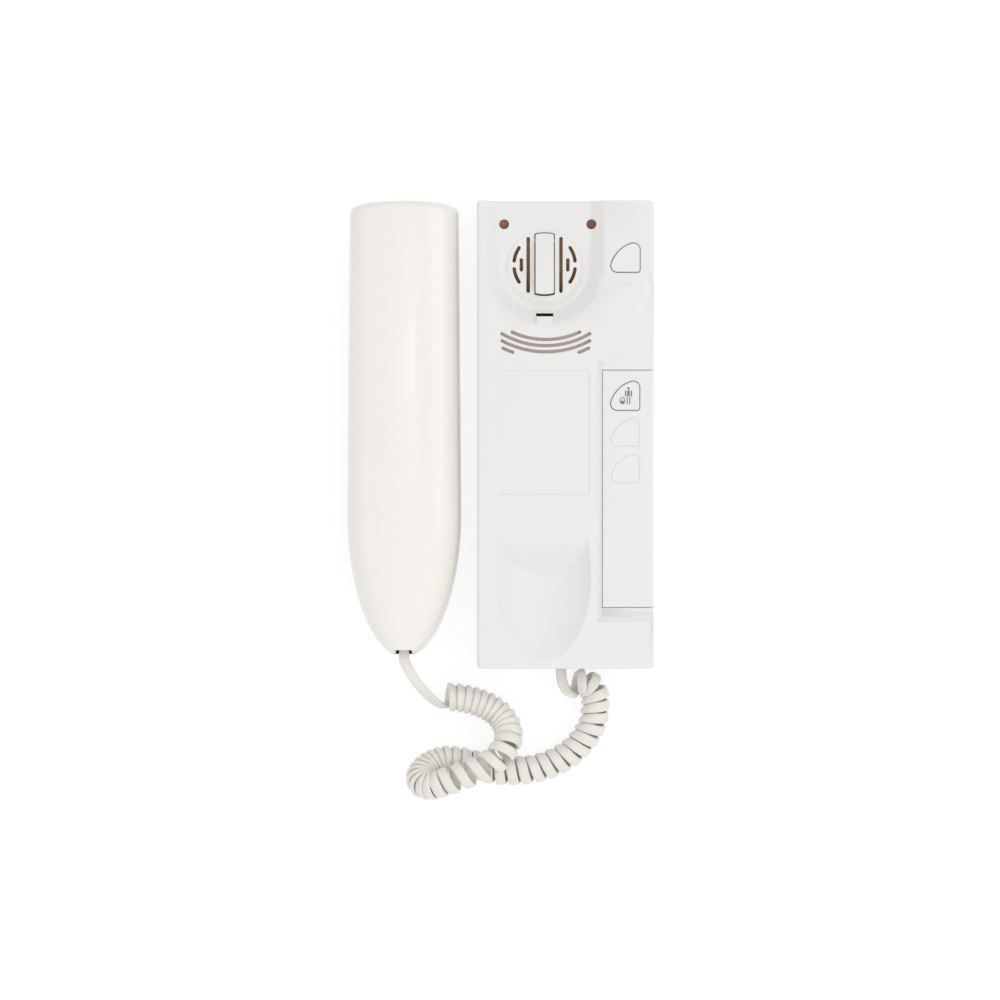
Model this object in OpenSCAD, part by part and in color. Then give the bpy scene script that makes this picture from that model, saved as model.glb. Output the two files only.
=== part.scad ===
// Wall audio intercom: a moulded base lying on its back, its handset lying face down
// beside it, and the curly cord that joins them.
// Millimetres. X runs across the base, Y up its height, Z out of the wall.
// The origin is the middle of the two wall screws, on the wall face.

/* [Base] */
// Width of the wall base
base_w = 85; // [82:0.5:96]
// Height of the wall base
base_h = 225; // [218:1:240]
// Depth of the wall base, from the wall to its front face
base_d = 32; // [31:0.5:38]
// Wall thickness of the moulded covers
wall = 2.2; // [1.8:0.1:2.4]
// Radius of the base's corners, seen from the front
corner_r = 2; // [1:0.5:4]
// Width of the bevel along the right front edge
bevel_w = 2.2; // [1:0.1:3]
// Drop of the bevel along the right front edge
bevel_drop = 1.2; // [0.5:0.1:1.6]
// Size of the small bevel along the left front edge
left_bevel = 1.2; // [0.5:0.1:1.8]
// Thickness of the wall plate
plate_t = 2.2; // [1.8:0.1:3]
// Height of the rim round the wall plate
rim_h = 4; // [3:0.5:6]
// Clearance between mouldings that slip together
fit = 0.3; // [0.2:0.05:0.4]

/* [Wall fixing] */
// Distance between the two wall screws
screw_pitch = 60; // [50:0.5:64]
// Diameter of the wall screw holes
screw_hole_d = 4.5; // [3.5:0.1:6]
// Width of the window for the wall cable
window_w = 30; // [16:1:40]
// Height of the window for the wall cable
window_h = 20; // [12:1:24]

/* [Ear rest] */
// Distance of the cradle's axis to the left of the base's middle
cradle_off = 10.3; // [9:0.1:11]
// Distance of the ear rest's axis to the right of the cradle's
ear_shift = 0.4; // [0:0.1:0.8]
// Distance of the ear rest's centre below the top edge
ear_from_top = 31; // [30:0.5:34]
// Radius of the ear rest at the front face
ear_r = 28.4; // [27:0.2:29.4]
// Radius of the ear rest at its floor
ear_floor_r = 22.3; // [21.9:0.1:23]
// Depth of the ear rest's floor
ear_depth = 5.5; // [5:0.25:7]
// Radius of the tilted dish in the floor
dish_r = 20.8; // [20:0.1:21]
// Width of the dish's sloping edge
dish_edge = 3.4; // [2.5:0.1:4]
// Depth of the dish at its lower end
dish_drop = 2.6; // [1.5:0.1:3]
// Distance of the dish's straight lower edge from its centre
land_at = 19.6; // [18.5:0.1:20]
// Diameter of the two sight holes above the dish
sight_d = 4.8; // [3:0.2:6]
// Distance between the two sight holes
sight_pitch = 42; // [38:0.2:42]
// Width of the nib that holds the handset
nib_w = 8.2; // [6:0.2:10]
// Length of the nib
nib_len = 6; // [5:0.25:7]
// Distance of the opening ahead of the nib from the ear rest's floor
nib_in = 0.65; // [0.5:0.05:1.2]
// Opening ahead of the nib
nib_slot = 1.7; // [1.2:0.1:2]

/* [Grilles] */
// Width of the straight and curved ear slots
ear_slot_w = 1.7; // [1.2:0.1:2]
// Distance of the ear slots' middle above the ear rest's centre
slot_rise = 0.5; // [0:0.1:0.8]
// Distance of the long ear slots from the dish's axis
long_slot_x = 7.9; // [7.6:0.1:8.4]
// Length of the long ear slots
long_slot_len = 27; // [20:0.5:28]
// Distance of the short ear slots from the dish's axis
short_slot_x = 11.2; // [10.8:0.1:11.6]
// Length of the short ear slots
short_slot_len = 6.6; // [4:0.2:9]
// Radius of the four curved ear slots
arc_slot_r = 14.8; // [14.6:0.1:15.4]
// Width of the call grille's slots
smile_w = 1.5; // [1:0.1:1.8]
// Distance of the call grille's centre above the ear rest's
smile_rise = 2.7; // [2.2:0.1:3]
// Distance of the call grille's axis to the right of the ear rest's
smile_shift = 0.5; // [0:0.1:0.8]
// Radius of the call grille's first slot
smile_r = 38.5; // [38.1:0.1:39.3]
// Step from one call slot to the next
smile_step = 2.95; // [2.6:0.05:3.2]

/* [Mouth rest] */
// Distance of the mouth rest's tip above the bottom edge
mouth_from_bottom = 3.7; // [3:0.1:6]
// Length of the mouth rest from its tip to its deepest point
mouth_len = 41.4; // [38:0.2:44]
// Depth of the mouth rest
mouth_depth = 11; // [9:0.25:12]
// Radius of the mouth rest across
mouth_r = 29; // [26:0.5:30]
// Length of the ramp above the deepest point
mouth_ramp = 16.6; // [14:0.2:18]
// Radius of the roll from the front face into that ramp
ramp_roll_r = 12; // [8:0.5:14]

/* [Label] */
// Width of the shallow label field
label_w = 43.8; // [30:0.2:46]
// Height of the shallow label field
label_h = 59.5; // [40:0.5:64]
// Depth of the shallow label field
label_t = 0.6; // [0.3:0.1:0.8]
// Distance of the label field below the top edge
label_from_top = 81.7; // [80:0.1:84]

/* [Button strip] */
// Depth of the side channel that holds the strip
chan_depth = 4.5; // [3.5:0.25:5]
// Width of the channel's left slope
chan_slope = 2.6; // [1.5:0.1:3]
// Width of the channel's lower slope
chan_low_slope = 3.8; // [2:0.1:5]
// Radius of the channel's curved upper end, about the ear rest's centre
chan_arc_r = 51; // [50:0.25:53]
// Spread of that curved slope from the front to the channel's floor
chan_arc_slope = 5.5; // [3:0.25:6]
// Distance below the top edge where the channel starts to sink
chan_from_top = 19; // [14:0.5:24]
// Width of the button strip
strip_w = 24.5; // [24:0.1:25]
// Length of the button strip
strip_h = 114; // [100:0.5:116]
// Thickness of the button strip
strip_t = 1.8; // [1.5:0.1:2.2]
// Distance of the strip below the top edge
strip_from_top = 81.5; // [80:0.1:84]
// Width of the ledge that carries the strip
ledge_w = 1.5; // [1.2:0.1:1.8]
// Thickness of that ledge
ledge_t = 1.4; // [1:0.1:1.8]

/* [Buttons] */
// Width and height of a button
button_size = 13.8; // [13:0.1:14.6]
// Width of a button's flat end before its long curve
button_flat = 3; // [2.5:0.1:5]
// Distance of the long curve's centre beyond the button's corner
button_bulge = 0.5; // [0.2:0.1:4]
// Corner radius at the ends of a button's long curve
button_corner_r = 3; // [1:0.1:3.2]
// Radius of a button's square corner
button_square_r = 1; // [0.6:0.1:1.4]
// Distance of the buttons from the right edge
button_from_right = 6.8; // [6.2:0.1:7.4]
// Distance of the door button's lower edge below the top edge
door_from_top = 34.3; // [33:0.1:35]
// Distance of the call button's lower edge below the strip's upper edge
call_from_strip = 19; // [18.6:0.1:20]
// Distance from the call button to each blank button
blank_pitch = 17.5; // [16.5:0.1:18.5]
// Height of a button above the face around it
button_rise = 0.8; // [0.4:0.1:1.4]
// Travel of a button
button_travel = 1.2; // [0.8:0.1:1.4]

/* [Hook lever] */
// Width of the hook lever
lever_w = 8.8; // [8:0.1:9.2]
// Length of the hook lever
lever_len = 29.3; // [28:0.1:30]
// Height of the lever's crest above the ear rest's floor
lever_rise = 6; // [5:0.25:6.5]
// Distance of the crest from the lever's upper end
crest_at = 22; // [20:0.25:23]
// Diameter of the pivot pin
pin_d = 2; // [1.6:0.1:2.4]
// Running clearance round the pivot pin
run_gap = 0.05; // [0.02:0.01:0.09]

/* [Circuit board] */
// Thickness of the circuit board
board_t = 1.6; // [1:0.2:2]
// Height of the board's underside above the wall
board_z = 9.4; // [8.6:0.2:9.8]
// Width of the circuit board
board_w = 70; // [66:0.5:76]
// Radius of the call speaker
speaker_r = 17.5; // [16:0.25:18]
// Depth of the call speaker
speaker_d = 15; // [12:0.5:16]
// Number of screws on the terminal block
terminals = 6; // [4:1:7]

/* [Handset] */
// Length of the handset
handset_len = 219; // [205:1:225]
// Largest width of the handset
handset_w = 55.4; // [53:0.2:58]
// Width of the handset at its upper end
handset_top_w = 52.8; // [50:0.2:53]
// Length of the tapered lower end
taper_len = 70; // [60:1:76]
// Height of the crowned back above the parting line
crown_h = 21; // [19.5:0.25:23]
// Height of the ear and mouth cups below the grip
cup_h = 12; // [11:0.25:13]
// Thickness of the handset's face plate
face_t = 2; // [1.8:0.1:2.6]
// Gap between the handset and the base
side_gap = 7.6; // [6:0.2:12]
// Radius of the ear cup at its face
ear_cup_r = 19.5; // [19.2:0.1:20]
// Radius of the ear capsule
capsule_r = 17.6; // [16.5:0.1:17.8]
// Radius of the domed mouth cup
mouth_cup_r = 22; // [20:0.25:23]
// Distance of the mouth cup's centre above the handset's lower end
mouth_cup_from_tip = 26.5; // [25:0.25:29]
// Width of the cord notch in the handset's lower end
notch_w = 9; // [8.6:0.1:9.6]
// Depth of the cord notch
notch_d = 2.8; // [2.6:0.1:3.6]

/* [Cord] */
// Width of the flat cord
cord_w = 3; // [2.4:0.1:3.2]
// Thickness of the flat cord
cord_t = 2.2; // [1.6:0.1:2.4]
// Outer diameter of the curls
curl_od = 13.4; // [12:0.1:13.4]
// Least distance from one curl to the next
curl_pitch = 4.4; // [4.2:0.1:6]
// Clear space between neighbouring curls at the inside of a bend
curl_gap = 0.6; // [0.5:0.05:1]

/* [Hidden] */

$fn = 48;
over = 1;
base_white = "#E9E8E7";
handset_white = "#F1EFEA";
cord_white = "#E4E3DE";
board_brown = "#735844";
metal = "#B9BABC";
black = "#26262A";

left_x = -base_w / 2;
right_x = base_w / 2;
top_y = base_h / 2;
bottom_y = -base_h / 2;
front_z = base_d;
skirt_z = 0.6;

cradle_x = -cradle_off;
ear_x = cradle_x + ear_shift;
ear_y = top_y - ear_from_top;
ear_floor_z = front_z - ear_depth;
// Round ends of the slots: their width as a share of the slot's, and how far in they start
slot_end = 0.97;
slot_end_in = 0.3;
dish_tilt = atan(dish_drop / (2 * dish_r));
// Spread of the slope up to the dish's straight edge
land_in = 2.4;
sight_shift = 1.5;
sight_y = ear_y + 20;
nib_y1 = ear_y - ear_floor_r - nib_in - nib_slot;

mouth_tip_y = bottom_y + mouth_from_bottom;
mouth_y = mouth_tip_y + mouth_len;
mouth_sweep_r = (mouth_len * mouth_len + mouth_depth * mouth_depth) / (2 * mouth_depth);

chan_z = front_z - chan_depth;
strip_x = right_x - strip_w;
strip_y1 = top_y - strip_from_top;
strip_y0 = strip_y1 - strip_h;
chan_top_y = top_y - chan_from_top;
chan_low_gap = 3.2;

button_x = right_x - button_from_right;
door_y = top_y - door_from_top;
call_y = strip_y1 - call_from_strip;
button_arc_r = norm([button_bulge + button_flat, button_bulge + button_size]);
button_gap = 0.4;
flange_w = 1.2;
flange_t = 1.2;
stem_r = 2.2;
stem_in = [-0.38 * button_size, 0.33 * button_size];

plate_top = plate_t;
board_top = board_z + board_t;
board_y1 = ear_y + 26;
small_screw_r = 1.2;
pilot_gap = 0.05;
head_r = 2.6;
head_h = 1.8;

switch_size = 6;
// The board's lower edge and lower posts keep clear of the call switch
call_switch_y = call_y + stem_in[1];
board_low_end = 4.75;
board_y0 = call_switch_y - switch_size / 2 - board_low_end;
post_r = 3;
post_in = 3;
post_gap = 1.65;
post_low_y = call_switch_y + switch_size / 2 + head_r + post_gap;
post_high_y = board_y1 - 5 * post_in;
post_spots = [for (side = [-1, 1], y = [post_low_y, post_high_y]) [side * (board_w / 2 - post_in), y]];
switch_h = 4;
switch_plunger_r = 1.7;
plunger_gap = 0.1;
plunger_top = board_top + 6;
plunger_len = 3.6;

lever_y1 = ear_y + 15.6;
lever_y0 = lever_y1 - lever_len;
lever_side_gap = 0.5;
lever_end_gap = 0.8;
pivot_in = 3.2;
pivot_y = lever_y1 - pivot_in;
pivot_z = ear_floor_z - wall - pin_d / 2 - 0.4;
lug_w = 2.1;
pin_seat = 0.02;
lug_r = pin_d / 2 + 1.5;
foot_in = 6;
hook_plunger_r = 1.2;
hook_switch_h = 5.4;
hook_plunger_top = board_top + 6.8;
lever_foot_z = hook_plunger_top + 0.2;

speaker_y = ear_y - ear_r - wall - speaker_r - 1;
speaker_flange_t = 1.5;
speaker_back_z = front_z - wall - speaker_d;
speaker_ring_t = 1.4;
speaker_ring_h = 4;

socket_w = 11;
socket_len = 14;
socket_h = 9;
plug_w = 7.6;
plug_h = 6.6;
plug_len = 9;
plug_gap = 0.15;
plug_in = 0.8;
cord_exit_x = -1.6;
base_socket_y = bottom_y + wall + 0.1;

cover_screw_x = 24;
cover_screw_z = plate_top + 4;
terminal_y = -62;
terminal_pitch = 6.5;
terminal_h = 11;
terminal_d = 12;
window_y = -34;

hand_x = left_x - side_gap - handset_w / 2;
hand_top_y = top_y;
hand_tip_y = hand_top_y - handset_len;
part_z = cup_h + face_t;
hand_ear_y = hand_top_y - ear_from_top;
hand_mouth_y = hand_tip_y + mouth_cup_from_tip;
tip_cut = 1;
cap_len = 8;
hand_socket_y = hand_tip_y + notch_d;
hand_screw_y = [hand_ear_y - ear_cup_r - 14, hand_mouth_y + mouth_cup_r + 10];
gasket_t = 1;
cup_floor = 3.2;
mic_r = 4.9;
boot_r = 6.5;
// The pad under the microphone's boot stands clear of the domed cup's wall
mic_pad_z = mouth_cup_r - sqrt(pow(mouth_cup_r - wall, 2) - pow(boot_r + fit, 2)) + fit;

// Axis of the coiled stretch, from the base to the handset, lying on the table and
// folded once over itself.
curl_r = (curl_od - cord_t) / 2;
lie_z = 7;
coil_route = [
    [5, -121, lie_z], [10.5, -122.5, lie_z], [14.5, -127, lie_z], [16, -134, lie_z],
    [13.5, -144.5, lie_z], [7.5, -152.5, lie_z], [0, -157.5, lie_z], [-7, -160.5, lie_z],
    [-14, -162, lie_z], [-21.5, -163, lie_z], [-29, -163, lie_z], [-37.5, -161.5, lie_z],
    [-46, -159, lie_z], [-53.5, -156.5, lie_z], [-61, -155.5, 7.5], [-68, -157, 10],
    [-73, -161, 15], [-74, -166, 21], [-70, -170, 26], [-63, -170.5, 27.5],
    [-55.5, -167.5, 26], [-48, -163.5, 23.5], [-41, -159.5, 22], [-35, -154.5, 20],
    [-30.5, -148, 15.5], [-28.5, -141, 10.5], [-31, -134.5, 7.5], [-37, -130, lie_z],
    [-44, -128, lie_z], [-51, -127.5, lie_z], [-57, -127.5, lie_z]
];
spline_steps = 8;
rings_per_curl = 8;
end_rings = 6;
lead_rings = 9;
base_lead_pull = [9, 7];
hand_lead_pull = [16, 12];
base_lead_start = [cord_exit_x, base_socket_y + plug_in, plate_top + socket_h / 2];
hand_lead_start = [hand_x, hand_socket_y + plug_in, part_z + socket_h / 2];

// Small helpers

function unit(v) = v / norm(v);
function flatten(lists) = [for (list = lists) each list];

module rounded_plan(w, h, r) {
    square([w - 2 * r, h], center = true);
    square([w, h - 2 * r], center = true);
    for (sx = [-1, 1], sy = [-1, 1])
        translate([sx * (w / 2 - r), sy * (h / 2 - r)]) circle(r);
}

// Extrudes an outline drawn in Y and Z along X, from x0 to x1
module along_x(x0, x1) {
    translate([x0, 0, 0]) rotate([90, 0, 90]) linear_extrude(x1 - x0) children();
}

// Extrudes an outline drawn in X and Z along Y, from y0 to y1
module along_y(y0, y1) {
    translate([0, y1, 0]) rotate([90, 0, 0]) linear_extrude(y1 - y0) children();
}

module arc_slot(r, w, a0, a1, z0, z1) {
    translate([0, 0, z0]) rotate([0, 0, a0])
        rotate_extrude(angle = a1 - a0) translate([r - w / 2, 0]) square([w, z1 - z0]);
    inset = slot_end_in / r * 180 / PI;
    for (a = [a0 + inset, a1 - inset])
        rotate([0, 0, a]) translate([r, 0, z0]) cylinder(d = slot_end * w, h = z1 - z0);
}

module straight_slot(len, w, z0, z1) {
    half = (len - w) / 2;
    translate([-w / 2, -half - slot_end_in, z0]) cube([w, 2 * (half + slot_end_in), z1 - z0]);
    for (s = [-1, 1]) translate([0, s * half, z0]) cylinder(d = slot_end * w, h = z1 - z0);
}

module pan_screw(shank_len) {
    cylinder(r = head_r, h = head_h);
    translate([0, 0, -shank_len]) cylinder(r = small_screw_r, h = shank_len);
}

// Recesses of the front cover, each grown to give the back of its wall

module ear_recess(grow) {
    outline = [
        [0, ear_floor_z - grow], [ear_floor_r + grow, ear_floor_z - grow],
        [ear_r + grow, front_z], [ear_r + grow, front_z + over], [0, front_z + over]
    ];
    translate([ear_x, ear_y, 0]) {
        rotate([0, 0, 180]) rotate_extrude(angle = 180) polygon(outline);
        along_y(0, ear_from_top + over)
            polygon(concat(outline, [for (i = [len(outline) - 1:-1:0]) [-outline[i][0], outline[i][1]]]));
    }
}

module ear_dish(grow) {
    steep = dish_edge / dish_drop;
    height = dish_drop + over;
    inner_r = dish_r - dish_edge + grow;
    translate([ear_x, ear_y, ear_floor_z - dish_drop / 2 - grow]) rotate([dish_tilt, 0, 0]) intersection() {
        cylinder(r1 = inner_r, r2 = inner_r + height * steep, h = height);
        along_x(-2 * dish_r, 2 * dish_r) polygon([
            [land_in - land_at - grow, -over], [land_in - land_at - grow, 0],
            [-land_at - grow - land_in * over / dish_drop, height],
            [2 * dish_r, height], [2 * dish_r, -over]
        ]);
    }
}

module mouth_scoop(grow) {
    reach = 3;
    low = [mouth_y, front_z - mouth_depth] + grow * unit([mouth_depth, -mouth_ramp]);
    slope = [mouth_ramp, mouth_depth];
    high = front_z + reach * mouth_depth;
    tilt = atan(mouth_depth / mouth_ramp);
    roll_y = mouth_y + mouth_ramp + ramp_roll_r * tan(tilt / 2);
    roll_steps = 6;
    roll = [
        for (k = [roll_steps:-1:0]) let (a = 90 + tilt * k / roll_steps)
            [roll_y, front_z - ramp_roll_r] + (ramp_roll_r - grow) * [cos(a), sin(a)]
    ];
    intersection() {
        translate([cradle_x, mouth_y, front_z - mouth_depth + mouth_sweep_r]) rotate([0, 90, 0])
            rotate([0, 0, 180]) rotate_extrude($fn = 96)
                translate([mouth_sweep_r - mouth_r, 0]) rotate(90) circle(mouth_r + grow);
        along_x(cradle_x - 2 * mouth_r, cradle_x + 2 * mouth_r) polygon(concat(
            [low - slope], roll, [[roll_y, high], [bottom_y, high], [bottom_y, low[1] - mouth_depth]]
        ));
    }
}

module side_channel(grow) {
    slope_x = strip_x - fit - chan_slope - grow;
    low_y = strip_y0 - chan_low_gap - grow;
    edge_z = chan_z - grow - bevel_drop * (bevel_w + over) / bevel_w;
    steep = chan_arc_slope / chan_depth;
    base_z = chan_z - grow - over;
    difference() {
        intersection() {
            along_x(0, right_x + over) polygon([
                [low_y - chan_low_slope, front_z + over], [low_y - chan_low_slope, front_z],
                [low_y, chan_z - grow], [strip_y1, chan_z - grow], [chan_top_y, front_z - grow],
                [chan_top_y, front_z + over]
            ]);
            along_y(bottom_y, top_y) polygon([
                [slope_x, front_z + over], [slope_x, front_z], [slope_x + chan_slope, chan_z - grow],
                [right_x - bevel_w, chan_z - grow], [right_x + over, edge_z],
                [right_x + over, front_z + over]
            ]);
        }
        translate([ear_x, ear_y, base_z]) cylinder(
            r1 = chan_arc_r - grow + steep * (front_z - base_z),
            r2 = chan_arc_r - grow - steep * over,
            h = front_z - base_z + over,
            $fn = 96
        );
    }
}

// Outline of a button, with its lower right corner at the origin
module button_plan(grow) {
    corner = button_size / 2;
    offset(r = button_corner_r + grow) offset(delta = -button_corner_r) intersection() {
        translate([-button_size, 0]) square(button_size);
        translate([button_bulge, -button_bulge]) circle(button_arc_r, $fn = 96);
    }
    offset(r = button_square_r + grow) offset(delta = -button_square_r)
        translate([-corner, 0]) square(corner);
}

module ear_slots(z0, z1) {
    arc_slot_from = 6.2;
    arc_slot_to = 35;
    translate([ear_x, ear_y + slot_rise, 0]) for (side = [-1, 1]) {
        translate([side * long_slot_x, 0, 0]) straight_slot(long_slot_len, ear_slot_w, z0, z1);
        translate([side * short_slot_x, 0, 0]) straight_slot(short_slot_len, ear_slot_w, z0, z1);
        for (up = [-1, 1]) mirror([side < 0 ? 1 : 0, 0, 0]) mirror([0, up < 0 ? 1 : 0, 0])
            arc_slot(arc_slot_r, ear_slot_w, arc_slot_from, arc_slot_to, z0, z1);
    }
}

// Curved slots in front of the call speaker
module smile_slots(z0, z1) {
    half_angles = [25.4, 31, 28.7];
    last_slot_from = 289.3;
    last_slot_to = 296.1;
    translate([ear_x + smile_shift, ear_y + smile_rise, 0]) {
        for (i = [0:2])
            arc_slot(smile_r + i * smile_step, smile_w, 270 - half_angles[i], 270 + half_angles[i], z0, z1);
        for (side = [0, 1]) mirror([side, 0, 0])
            arc_slot(smile_r + 3 * smile_step, smile_w, last_slot_from, last_slot_to, z0, z1);
    }
}

// Base mouldings

module cover_block() {
    intersection() {
        translate([0, 0, skirt_z]) linear_extrude(front_z - skirt_z) rounded_plan(base_w, base_h, corner_r);
        along_y(bottom_y - over, top_y + over) polygon([
            [left_x, 0], [right_x, 0], [right_x, front_z - bevel_drop], [right_x - bevel_w, front_z],
            [left_x + left_bevel, front_z], [left_x, front_z - left_bevel]
        ]);
    }
}

module cover_cavity() {
    difference() {
        translate([left_x + wall, bottom_y + wall, -over])
            cube([base_w - 2 * wall, base_h - 2 * wall, front_z - wall + over]);
        ear_recess(wall);
        ear_dish(wall);
        mouth_scoop(wall);
        side_channel(strip_t + ledge_t);
    }
}

module pivot_lugs() {
    inner = lever_w / 2 + lever_side_gap;
    root_z = ear_floor_z - wall / 2;
    for (side = [-1, 1]) translate([ear_x + side * (inner + lug_w / 2), pivot_y, 0]) {
        translate([-lug_w / 2, -lug_r, pivot_z]) cube([lug_w, 2 * lug_r, root_z - pivot_z]);
        translate([-lug_w / 2, 0, pivot_z]) rotate([0, 90, 0]) cylinder(r = lug_r, h = lug_w);
    }
}

module speaker_ring() {
    inner = speaker_r + fit;
    translate([cradle_x, speaker_y, front_z - wall - speaker_ring_h]) difference() {
        cylinder(r = inner + speaker_ring_t, h = speaker_ring_h + wall / 2);
        translate([0, 0, -over]) cylinder(r = inner, h = speaker_ring_h + over);
    }
}

module nib() {
    translate([ear_x - nib_w / 2, nib_y1 - nib_len, ear_floor_z])
        cube([nib_w, nib_len, front_z - ear_floor_z + 2 * over]);
}

module front_cover() {
    floor_low = ear_floor_z - dish_drop - 2 * wall;
    color(base_white) difference() {
        union() {
            difference() {
                cover_block();
                cover_cavity();
            }
            pivot_lugs();
            speaker_ring();
        }
        difference() {
            ear_recess(0);
            nib();
        }
        ear_dish(0);
        mouth_scoop(0);
        side_channel(0);
        ear_slots(floor_low, front_z);
        smile_slots(front_z - wall - speaker_ring_h - over, front_z + over);
        for (side = [-1, 1])
            translate([ear_x + sight_shift + side * sight_pitch / 2, sight_y, ear_floor_z - 2 * wall])
                cylinder(d = sight_d, h = front_z);
        translate([ear_x - nib_w / 2, nib_y1, floor_low])
            cube([nib_w, nib_slot, front_z - floor_low]);
        translate([0, 0, floor_low]) linear_extrude(front_z - floor_low)
            lever_plan(lever_side_gap, lever_end_gap, lever_side_gap);
        translate([ear_x, pivot_y, pivot_z]) rotate([0, 90, 0])
            cylinder(r = pin_d / 2 + pin_seat, h = 2 * (lever_w + lug_w), center = true);
        translate([cradle_x, top_y - label_from_top - label_h / 2, front_z - label_t])
            linear_extrude(label_t + over) rounded_plan(label_w, label_h, corner_r);
        strip_pocket();
        translate([button_x, door_y, front_z - 2 * wall])
            linear_extrude(2 * wall + over) button_plan(button_gap);
        translate([cord_exit_x - notch_w / 2, bottom_y - over, plate_top + socket_h / 2 - plug_h / 2 - fit])
            cube([notch_w, wall + 2 * over, plug_h + 2 * fit]);
        translate([cover_screw_x, bottom_y, cover_screw_z]) rotate([90, 0, 0]) {
            cylinder(r = small_screw_r + fit, h = 4 * wall, center = true);
            translate([0, 0, -wall / 2]) cylinder(r = head_r + fit, h = wall);
        }
    }
}

module strip_pocket() {
    translate([strip_x - fit, strip_y0 - fit, chan_z - strip_t])
        cube([strip_w + fit + over, strip_h + 2 * fit, chan_depth + strip_t]);
    translate([strip_x + ledge_w, strip_y0 + ledge_w, chan_z - strip_t - ledge_t - over])
        cube([strip_w - ledge_w - wall - ledge_w, strip_h - 2 * ledge_w, chan_depth + strip_t + ledge_t]);
}

module button_strip() {
    groove_w = 0.4;
    groove_d = 0.4;
    color(base_white) difference() {
        along_y(strip_y0, strip_y1) polygon([
            [strip_x, chan_z - strip_t], [right_x, chan_z - strip_t], [right_x, chan_z - bevel_drop],
            [right_x - bevel_w, chan_z], [strip_x, chan_z]
        ]);
        translate([button_x, call_y, chan_z - strip_t - over])
            linear_extrude(strip_t + 2 * over) button_plan(button_gap);
        for (i = [1, 2]) translate([button_x, call_y - i * blank_pitch, chan_z - groove_d])
            linear_extrude(groove_d + over) difference() {
                button_plan(groove_w / 2);
                button_plan(-groove_w / 2);
            }
    }
}

module back_plate() {
    inner_w = base_w - 2 * wall - 2 * fit;
    inner_h = base_h - 2 * wall - 2 * fit;
    rim_t = 1.6;
    boss_w = 8;
    boss_len = 9;
    color(base_white) difference() {
        union() {
            translate([-inner_w / 2, -inner_h / 2, 0]) cube([inner_w, inner_h, plate_t]);
            difference() {
                translate([-inner_w / 2, -inner_h / 2, 0]) cube([inner_w, inner_h, plate_t + rim_h]);
                translate([-inner_w / 2 + rim_t, -inner_h / 2 + rim_t, 0])
                    cube([inner_w - 2 * rim_t, inner_h - 2 * rim_t, plate_t + rim_h + over]);
            }
            for (p = post_spots) translate([p[0], p[1], 0]) cylinder(r = post_r, h = board_z);
            translate([cover_screw_x - boss_w / 2, -inner_h / 2, 0])
                cube([boss_w, boss_len, cover_screw_z + boss_w / 2]);
        }
        for (side = [-1, 1]) translate([side * screw_pitch / 2, 0, -over])
            cylinder(d = screw_hole_d, h = plate_t + 2 * over);
        translate([-window_w / 2, window_y - window_h / 2, -over])
            cube([window_w, window_h, plate_t + 2 * over]);
        for (p = post_spots) translate([p[0], p[1], plate_t])
            cylinder(r = small_screw_r + pilot_gap, h = board_z);
        translate([cover_screw_x, -inner_h / 2 - over, cover_screw_z]) rotate([-90, 0, 0])
            cylinder(r = small_screw_r + pilot_gap, h = boss_len);
        translate([cord_exit_x - socket_w / 2 - fit, -inner_h / 2 - over, plate_t])
            cube([socket_w + 2 * fit, rim_t + 2 * over, rim_h + over]);
    }
}

module cover_screw() {
    shank = 8;
    color(metal) translate([cover_screw_x, bottom_y + wall / 2, cover_screw_z]) rotate([-90, 0, 0]) {
        translate([0, 0, -wall / 2]) cylinder(r = head_r, h = wall / 2);
        cylinder(r = small_screw_r, h = shank);
    }
}

// Electrical parts inside the base

module circuit_board() {
    color(board_brown) difference() {
        translate([-board_w / 2, board_y0, board_z]) cube([board_w, board_y1 - board_y0, board_t]);
        for (p = post_spots) translate([p[0], p[1], board_z - over])
            cylinder(r = small_screw_r + fit, h = board_t + 2 * over);
    }
}

module board_screws() {
    shank = 6;
    color(metal) for (p = post_spots) translate([p[0], p[1], board_top]) pan_screw(shank);
}

// Frame and magnet of the call speaker, turned from one profile
module call_speaker() {
    flange_z = front_z - wall;
    magnet_r = 0.55 * speaker_r;
    frame_t = 0.8;
    color(metal) translate([cradle_x, speaker_y, 0]) rotate_extrude() polygon([
        [0, speaker_back_z], [magnet_r, speaker_back_z], [magnet_r, flange_z - speaker_d / 2],
        [speaker_r - 2 * speaker_flange_t, flange_z - speaker_flange_t],
        [speaker_r, flange_z - speaker_flange_t], [speaker_r, flange_z],
        [speaker_r - speaker_flange_t, flange_z],
        [speaker_r - 2 * speaker_flange_t, flange_z - speaker_flange_t + frame_t / 2],
        [magnet_r - frame_t, flange_z - speaker_d / 2 + frame_t], [0, flange_z - speaker_d / 2 + frame_t]
    ]);
}

module speaker_cone() {
    flange_z = front_z - wall;
    seat_r = 0.55 * speaker_r - 1.2;
    seat_z = flange_z - speaker_d / 2 + 0.8;
    rim_r = speaker_r - 4;
    rim_z = flange_z - 1.4;
    paper = 0.6;
    color(board_brown) translate([cradle_x, speaker_y, 0]) rotate_extrude() polygon([
        [0, seat_z], [seat_r, seat_z], [rim_r, rim_z], [rim_r, rim_z + paper],
        [seat_r - paper, seat_z + 2 * paper], [0, seat_z + 2 * paper]
    ]);
}

module hook_switch() {
    width = 5.8;
    length = 12.8;
    bore_depth = 4.2;
    plunger_y = pivot_y - foot_in;
    color(black) difference() {
        translate([ear_x - width / 2, plunger_y - length / 2, board_top])
            cube([width, length, hook_switch_h]);
        translate([ear_x, plunger_y, board_top + hook_switch_h - bore_depth])
            cylinder(r = hook_plunger_r + plunger_gap, h = bore_depth + over);
    }
}

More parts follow.
